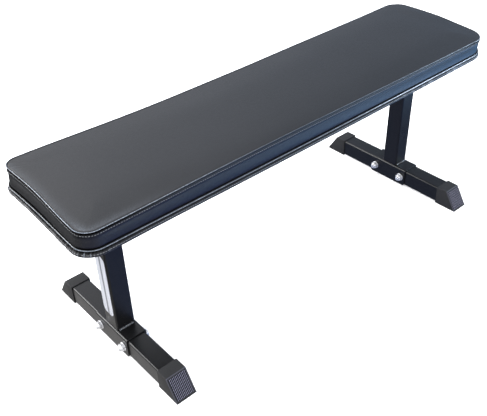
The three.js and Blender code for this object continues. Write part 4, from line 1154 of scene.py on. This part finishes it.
nylon_finish = speckled(
    "grey_nylon", (0.020, 0.022, 0.028), (0.035, 0.038, 0.045), 0.4, 0.1, (500, 200, 1500), 0.00005,
)
for end in legs:
    for side in ("front", "back"):
        name = f"{end}_{side}"
        low, high = solid_box(f"foot_bolt_{name}")
        y, z = (low[1:] + high[1:]) / 2
        seat = high[0] - head_height
        rows = bolt_rows(bolt_radius, hexagon_flats, head_height, seat - low[0])
        bolt = fastener(f"foot_bolt_{name}_zinc", rows, hexagon_flats, (seat, y, z), "x", -1, hollow=False)
        add_to_bench(bolt, zinc_finish, "zinc_steel", f"foot_bolt_{name}")
        for kind, facing in (("head", 1), ("nut", -1)):
            low, high = solid_box(f"{kind}_washer_{name}")
            rows = washer_rows((high[1] - low[1]) / 2, bolt_bore, high[0] - low[0])
            place = (low[0] if kind == "head" else high[0], y, z)
            piece_name = f"{kind}_washer_{name}_zinc"
            washer = fastener(piece_name, rows, hexagon_flats, place, "x", facing, hollow=True)
            add_to_bench(washer, zinc_finish, "zinc_steel", f"{kind}_washer_{name}")
        place = (solid_box(f"foot_nut_{name}")[1][0], y, z)
        rows = lock_nut_rows(hexagon_flats, 0.0066, bolt_bore, collar=0.0073, collar_height=0.0029)
        nut = fastener(f"foot_nut_{name}_zinc", rows, hexagon_flats, place, "x", -1, hollow=True)
        add_to_bench(nut, zinc_finish, "zinc_steel", f"foot_nut_{name}")
        rows = insert_rows(bore=0.00505, outer=0.0060, low=0.0074, high=0.0084)
        insert = fastener(f"nut_insert_{name}", rows, hexagon_flats, place, "x", -1, hollow=True)
        add_to_bench(insert, nylon_finish, "black_plastic")
    for side in ("outer", "inner"):
        name = f"{end}_{side}"
        low, high = solid_box(f"cradle_bolt_{name}")
        x, _, z = (low + high) / 2
        seat = low[1] + head_height
        length = high[1] - seat
        rows = bolt_rows(bolt_radius, hexagon_flats, head_height, length, flange=0.021, flange_height=0.002)
        bolt = fastener(f"rail_bolt_{name}", rows, hexagon_flats, (x, seat, z), "y", 1, hollow=False)
        add_to_bench(bolt, zinc_finish, "zinc_steel", f"cradle_bolt_{name}")
        low, high = solid_box(f"cradle_nut_{name}")
        height = high[1] - low[1]
        rows = flange_nut_rows(hexagon_flats, height, bolt_bore, flange=0.0105, flange_height=0.002)
        nut = fastener(f"rail_nut_{name}", rows, hexagon_flats, (x, low[1], z), "y", 1, hollow=True)
        add_to_bench(nut, zinc_finish, "zinc_steel", f"cradle_nut_{name}")
for corner in pad_corners:
    low, high = solid_box(f"pad_bolt_{corner}")
    place = (*(low + high)[:2] / 2, low[2] + pad_head_height)
    length = high[2] - place[2]
    rows = bolt_rows(
        pad_bolt_radius, pad_bolt_flats, pad_head_height, length, flange=0.017, flange_height=0.0015,
    )
    bolt = fastener(f"cushion_bolt_{corner}", rows, pad_bolt_flats, place, "z", 1, hollow=False)
    add_to_bench(bolt, zinc_finish, "zinc_steel", f"pad_bolt_{corner}")

# Foot caps: black rubber boots pushed over both ends of each foot. Each has a sloping toe, ribbed from
# top to bottom inside a plain border, and every rib is pinched into a row of low studs.
def boot_outline(size, soft, ribs, ribbed):
    """One loop round the boot as shares of its half width and half height, with the directions that
    its corners are rounded in. The top has eight points for each rib."""
    run = np.linspace(-1, 1, ribs * 8 + 1)
    across = np.concatenate(((-1,), run * ribbed / (size / 2 - soft), (1,)))
    top = np.stack((across, np.ones_like(across)), -1)
    turn = np.linspace(0, math.pi / 2, 5)[1:-1]
    places, normals = [], []
    for points, direction in (
        (top[::-1], (0, 1)), (np.array(((-1, 1), (-1, 0), (-1, -1))), (-1, 0)),
        (np.array(((-1, -1), (0, -1), (1, -1))), (0, -1)), (np.array(((1, -1), (1, 0), (1, 1))), (1, 0)),
    ):
        angle = turn + math.atan2(direction[1], direction[0])
        places += [points, np.repeat(points[-1:], len(turn), 0)]
        normals += [np.repeat([direction], len(points), 0), np.stack((np.cos(angle), np.sin(angle)), -1)]
    return np.concatenate(places).astype(float), np.concatenate(normals).astype(float)


def foot_cap(name, centre_x, side):
    """A loop carried along the foot: at the toe its top comes down the slope; at the open end it
    turns in and goes back along the pocket. The slope is pushed in by depth (1 - stud), where a stud
    is a smooth step of a cosine across the foot, a little lower between the studs. The points store
    how much wear and painted highlight they get, on the studs and along the slope's edges, and below
    zero how much painted shade the grooves get."""
    size, edge, toe, start, pocket = 0.0496, 0.197, 0.229, 0.1665, 0.1933
    soft, ribs, ribbed, depth, studs = 0.0012, 12, 0.45 * size, 0.0018, 9
    at, normal = boot_outline(size, soft, ribs, ribbed)
    on_top = normal[None, :, 1]
    slope = np.linspace(0, 1, 70)[1:-1]
    sleeve = np.array((start, start + 0.0002, start + 0.0006, edge - 0.0016, edge - 0.0006))
    y = np.concatenate((sleeve, edge + (toe - edge) * slope, (toe - 0.0014, toe - 0.0004)))
    draw = np.zeros(len(y))
    draw[:2] = 0.0005, 0.0002
    toe_foot = 0.0030, 0.0022
    high = np.concatenate((np.full(len(sleeve), size), size * (1 - slope), toe_foot))
    high = np.maximum(high, toe_foot[1])
    radius = np.minimum(soft, high / 2 - 0.0001)
    x, z = (
        np.outer(half - draw - radius, at[:, part]) + np.outer(radius, normal[:, part])
        for half, part in ((size / 2, 0), (high / 2, 1))
    )
    z = z + high[:, None] / 2

    share = ((y - edge) / (toe - edge))[:, None]
    border, last, fade = 0.055, 0.93, 0.025
    in_ribs = smooth_step((share - border) / fade) * smooth_step((last - share) / fade)
    in_ribs = in_ribs * (smooth_step((ribbed - np.abs(x)) / 0.0004) * (on_top > 0.999))
    wave = 0.5 + 0.5 * np.cos(x / (2 * ribbed / ribs) * 2 * math.pi)
    lift = 0.5 - 0.5 * np.cos(np.clip((share - border) / (last - border), 0, 1) * studs * 2 * math.pi)
    stud = smooth_step((wave - 0.50) / 0.38) * (0.8 + 0.2 * lift)
    # Painted highlights along the top edge of the slope and its rounded sides.
    edge_highlight = np.exp(-(share / 0.018) ** 2) * (on_top > 0.9)
    side_highlight = (share > 0) * (np.abs(normal[None, :, 0]) > 0.3) * (on_top > 0.3)
    sheen_and_groove_shade = (1.9 * stud - 0.9) * in_ribs + 0.9 * edge_highlight + 0.5 * side_highlight
    cut = depth * in_ribs * (1 - stud)
    lean = np.array((size, toe - edge)) / math.hypot(size, toe - edge)
    outside = np.stack((x, y[:, None] - cut * lean[0], z - cut * lean[1]), -1)

    inner, inner_soft = 0.0228, 0.0035
    inside_x = at[:, 0] * (inner - inner_soft) + normal[:, 0] * inner_soft
    inside_z = size / 2 + at[:, 1] * (inner - inner_soft) + normal[:, 1] * inner_soft
    inside = [
        np.column_stack((inside_x, np.full(len(at), place), inside_z))
        for place in (pocket, pocket - 0.001, start + 0.0006)
    ]
    lip = inside[-1] * 0.72 + outside[0] * 0.28
    lip[:, 1] = start + 0.0001
    points = np.stack((*inside, lip, *outside))
    points[..., 1] *= side
    points[..., 0] += centre_x
    piece = swept_piece(name, points)
    point_values(piece, "rub_and_sheen", np.concatenate((np.zeros(4 * len(at)), sheen_and_groove_shade.ravel())))
    return piece


def boot_rubber():
    """Dull black rubber with a little dust in its grain, painted paler and bluish and made smoother where
    it sticks out, on the studs and along the toe's edges, partly as wear and partly as a painted
    highlight, and painted in dark shade in the grooves between the ribs."""
    rubber = finish_named("boot_rubber")
    grain = rubber.noise(700.0, 3.0)
    dust = rubber.noise(40.0, 4.0)
    rub_and_sheen, groove = rubber.stored("rub_and_sheen")
    dull = rubber.blend(dust * grain, (0.006, 0.006, 0.0065), (0.024, 0.024, 0.025))
    # Pale bluish on the studs and edges: partly wear, partly a painted highlight.
    shade = rubber.blend(rub_and_sheen * rub_and_sheen, dull, (0.23, 0.23, 0.32))
    roughness = 0.60 + 0.16 * dust - 0.16 * rub_and_sheen
    # The grooves are painted in dark shade through unlit.
    return rubber.close(shade, roughness, grain, 0.00012, groove, Specular_IOR_Level=0.38)


rubber_finish = boot_rubber()
for end, middle in legs.items():
    for side, sign in (("front", -1), ("back", 1)):
        cap = foot_cap(f"rubber_boot_{end}_{side}", middle[0], sign)
        add_to_bench(cap, rubber_finish, "cap_rubber", f"foot_cap_{end}_{side}")

# Label: a strip of white vinyl film on the outer face of the left post. It is blank but for a
# plain grey stripe along its middle.
def white_film():
    """Glossy white film with a grey stripe 6 mm wide: a ramp of the distance from the middle."""
    film = finish_named("white_film")
    from_middle = film.math("ABSOLUTE", film.part(film.place(), "Y"))
    stripe = film.steps(from_middle * 100, (0.28, 1.0), (0.32, 0.0))
    white = film.blend(film.noise(40.0), (0.34, 0.35, 0.385), (0.38, 0.39, 0.425))
    shade = film.blend(stripe, white, (0.10, 0.105, 0.12))
    return film.close(shade, 0.30 + 0.1 * film.noise(60.0), film.noise(500.0), 0.00004)


label = edged_plate("post_label", *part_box("upright_label"), "x", radius=0.012, soft=0.0001)
add_to_bench(label, white_film(), "label", "upright_label")

# Studio: a plain pale floor and soft light. A wide softbox hangs over the bench and a low one stands
# behind its left end. What gloss sees below the horizon is a glowing floor card of its own, darker
# under the bench with a painted shadow of the bench and blue in front of it. The sky is darker to the
# right and has a dark flag high up there.
def flat_sheet(name, height, half):
    """A flat square grid, 2 half wide, at a height."""
    across = np.linspace(-half, half, 9)
    x, y = np.meshgrid(across, across)
    mesh = bpy.data.meshes.new(name)
    points = np.stack((x, y, np.full_like(x, height)), -1).reshape(-1, 3)
    mesh.from_pydata(points.tolist(), [], grid_faces(9, 9).tolist())
    sheet = bpy.data.objects.new(name, mesh)
    bpy.context.scene.collection.objects.link(sheet)
    return sheet


def softbox(name, place, aim, size, power, colour, on_matt, in_gloss):
    """A rectangular area light at a place, turned towards a point, for matt or glossy looks or both."""
    data = bpy.data.lights.new(name, "AREA")
    data.shape = "RECTANGLE"
    data.size, data.size_y = size
    data.energy = power
    data.color = colour
    lamp = bpy.data.objects.new(name, data)
    lamp.location = place
    lamp.rotation_euler = (Vector(aim) - Vector(place)).to_track_quat("-Z", "Y").to_euler()
    lamp.visible_camera = False
    lamp.visible_diffuse = on_matt
    lamp.visible_glossy = in_gloss
    bpy.context.scene.collection.objects.link(lamp)


paper = finish_named("pale_paper")
floor = flat_sheet("floor", 0, 10)
floor.visible_glossy = False
paper_shade = paper.blend(paper.noise(2.0), (0.86, 0.86, 0.86), (0.88, 0.88, 0.88))
paper_glow = {"Emission Color": (1, 1, 1, 1), "Emission Strength": 0.38}
paper_shader = paper.node(
    "ShaderNodeBsdfPrincipled", {"Base Color": paper_shade, "Roughness": 0.8, **paper_glow},
)
floor.data.materials.append(paper.end("ShaderNodeOutputMaterial", paper_shader))

card = flat_sheet("floor_card", -0.002, 10)
for sight in ("camera", "diffuse", "transmission", "volume_scatter", "shadow"):
    setattr(card, "visible_" + sight, False)
seen = finish_named("floor_seen_in_gloss")
along_floor, across_floor = (seen.part(seen.place(), axis) for axis in "XY")
along_share = 0.5 + 0.25 * along_floor
front_tint = seen.ramp(
    along_share, (0.35, (0.001, 0.005, 0.035)), (0.48, (0.002, 0.009, 0.065)),
    (0.56, (0.006, 0.018, 0.080)), (0.64, (0.004, 0.018, 0.065)), (0.72, (0.055, 0.12, 0.23)),
    (0.79, (0.37, 0.55, 0.84)), (0.92, (0.02, 0.10, 0.24)),
)
# Painted shadow of the bench on the card: dark under it, with a brighter band beside its left end.
floor_light_and_bench_shadow = seen.ramp(
    along_share, (0.20, (0.005, 0.005, 0.006)), (0.30, (0.005, 0.005, 0.006)),
    (0.355, (0.045, 0.044, 0.043)), (0.375, (0.066, 0.065, 0.064)), (0.40, (0.018, 0.025, 0.050)),
    (0.46, (0.014, 0.019, 0.040)), (0.80, (0.013, 0.017, 0.024)),
)
in_front = seen.steps(-across_floor, (0.30, 0.0), (0.60, 0.7), (1.00, 1.0))
behind = seen.steps(across_floor, (0.25, 0.0), (0.60, 1.0))
near_tint = seen.blend(behind, floor_light_and_bench_shadow, (0.006, 0.007, 0.008))
card_tint = seen.blend(in_front, near_tint, front_tint)
card_glow = seen.node("ShaderNodeEmission", {"Color": card_tint, "Strength": 12.0})
card.data.materials.append(seen.end("ShaderNodeOutputMaterial", card_glow))
seen.owner.cycles.emission_sampling = "NONE"

softbox("overhead_softbox", (-0.3, 0.3, 2.6), (0, 0, 0.3), (3.2, 2.4), 150, (1.0, 1.0, 1.0), True, False)
softbox("left_softbox", (-2.2, 1.8, 1.0), (-0.4, 0, 0.2), (1.6, 1.2), 30, (1.0, 0.99, 0.98), True, True)
softbox("rim_light", (-1.6, 2.0, 1.6), (-0.5, 0, 0.4), (0.8, 0.8), 55, (1.0, 1.0, 1.0), False, True)
softbox("right_light", (2.7, -1.06, 1.45), (0.5, 0, 0.4), (1.0, 0.8), 75, (0.62, 0.80, 1.0), False, True)
softbox("front_light", (0.5, -3.0, 0.6), (-0.4, -0.2, 0.1), (2.4, 0.8), 4.5, (0.70, 0.78, 1.0), False, True)

world = bpy.data.worlds.new("studio")
bpy.context.scene.world = world
sky = Finish(world)
way = sky.node("ShaderNodeTexCoord", output="Generated")
way_right, way_up = (sky.part(way, axis) for axis in "XZ")
right_share = 0.5 + 0.5 * way_right
sky_tint = sky.ramp(
    right_share, (0.30, (0.80, 0.81, 0.84)), (0.64, (0.70, 0.71, 0.75)), (0.76, (0.44, 0.48, 0.55)),
    (0.92, (0.22, 0.29, 0.40)),
)
over_horizon = sky.steps(way_up, (0.02, 0.0), (0.24, 1.0))
flag = 0.75 * sky.steps(right_share, (0.75, 0.0), (0.79, 1.0)) * sky.steps(way_up, (0.40, 0.0), (0.48, 1.0))
flagged = sky.blend(flag, sky_tint, (0.04, 0.045, 0.06))
sky_shade = sky.blend(over_horizon, (0.10, 0.105, 0.12), flagged)
sky_glow = sky.node("ShaderNodeBackground", {"Color": sky_shade, "Strength": 2.12})
sky.end("ShaderNodeOutputWorld", sky_glow)
bpy.context.scene.view_settings.view_transform = "Standard"
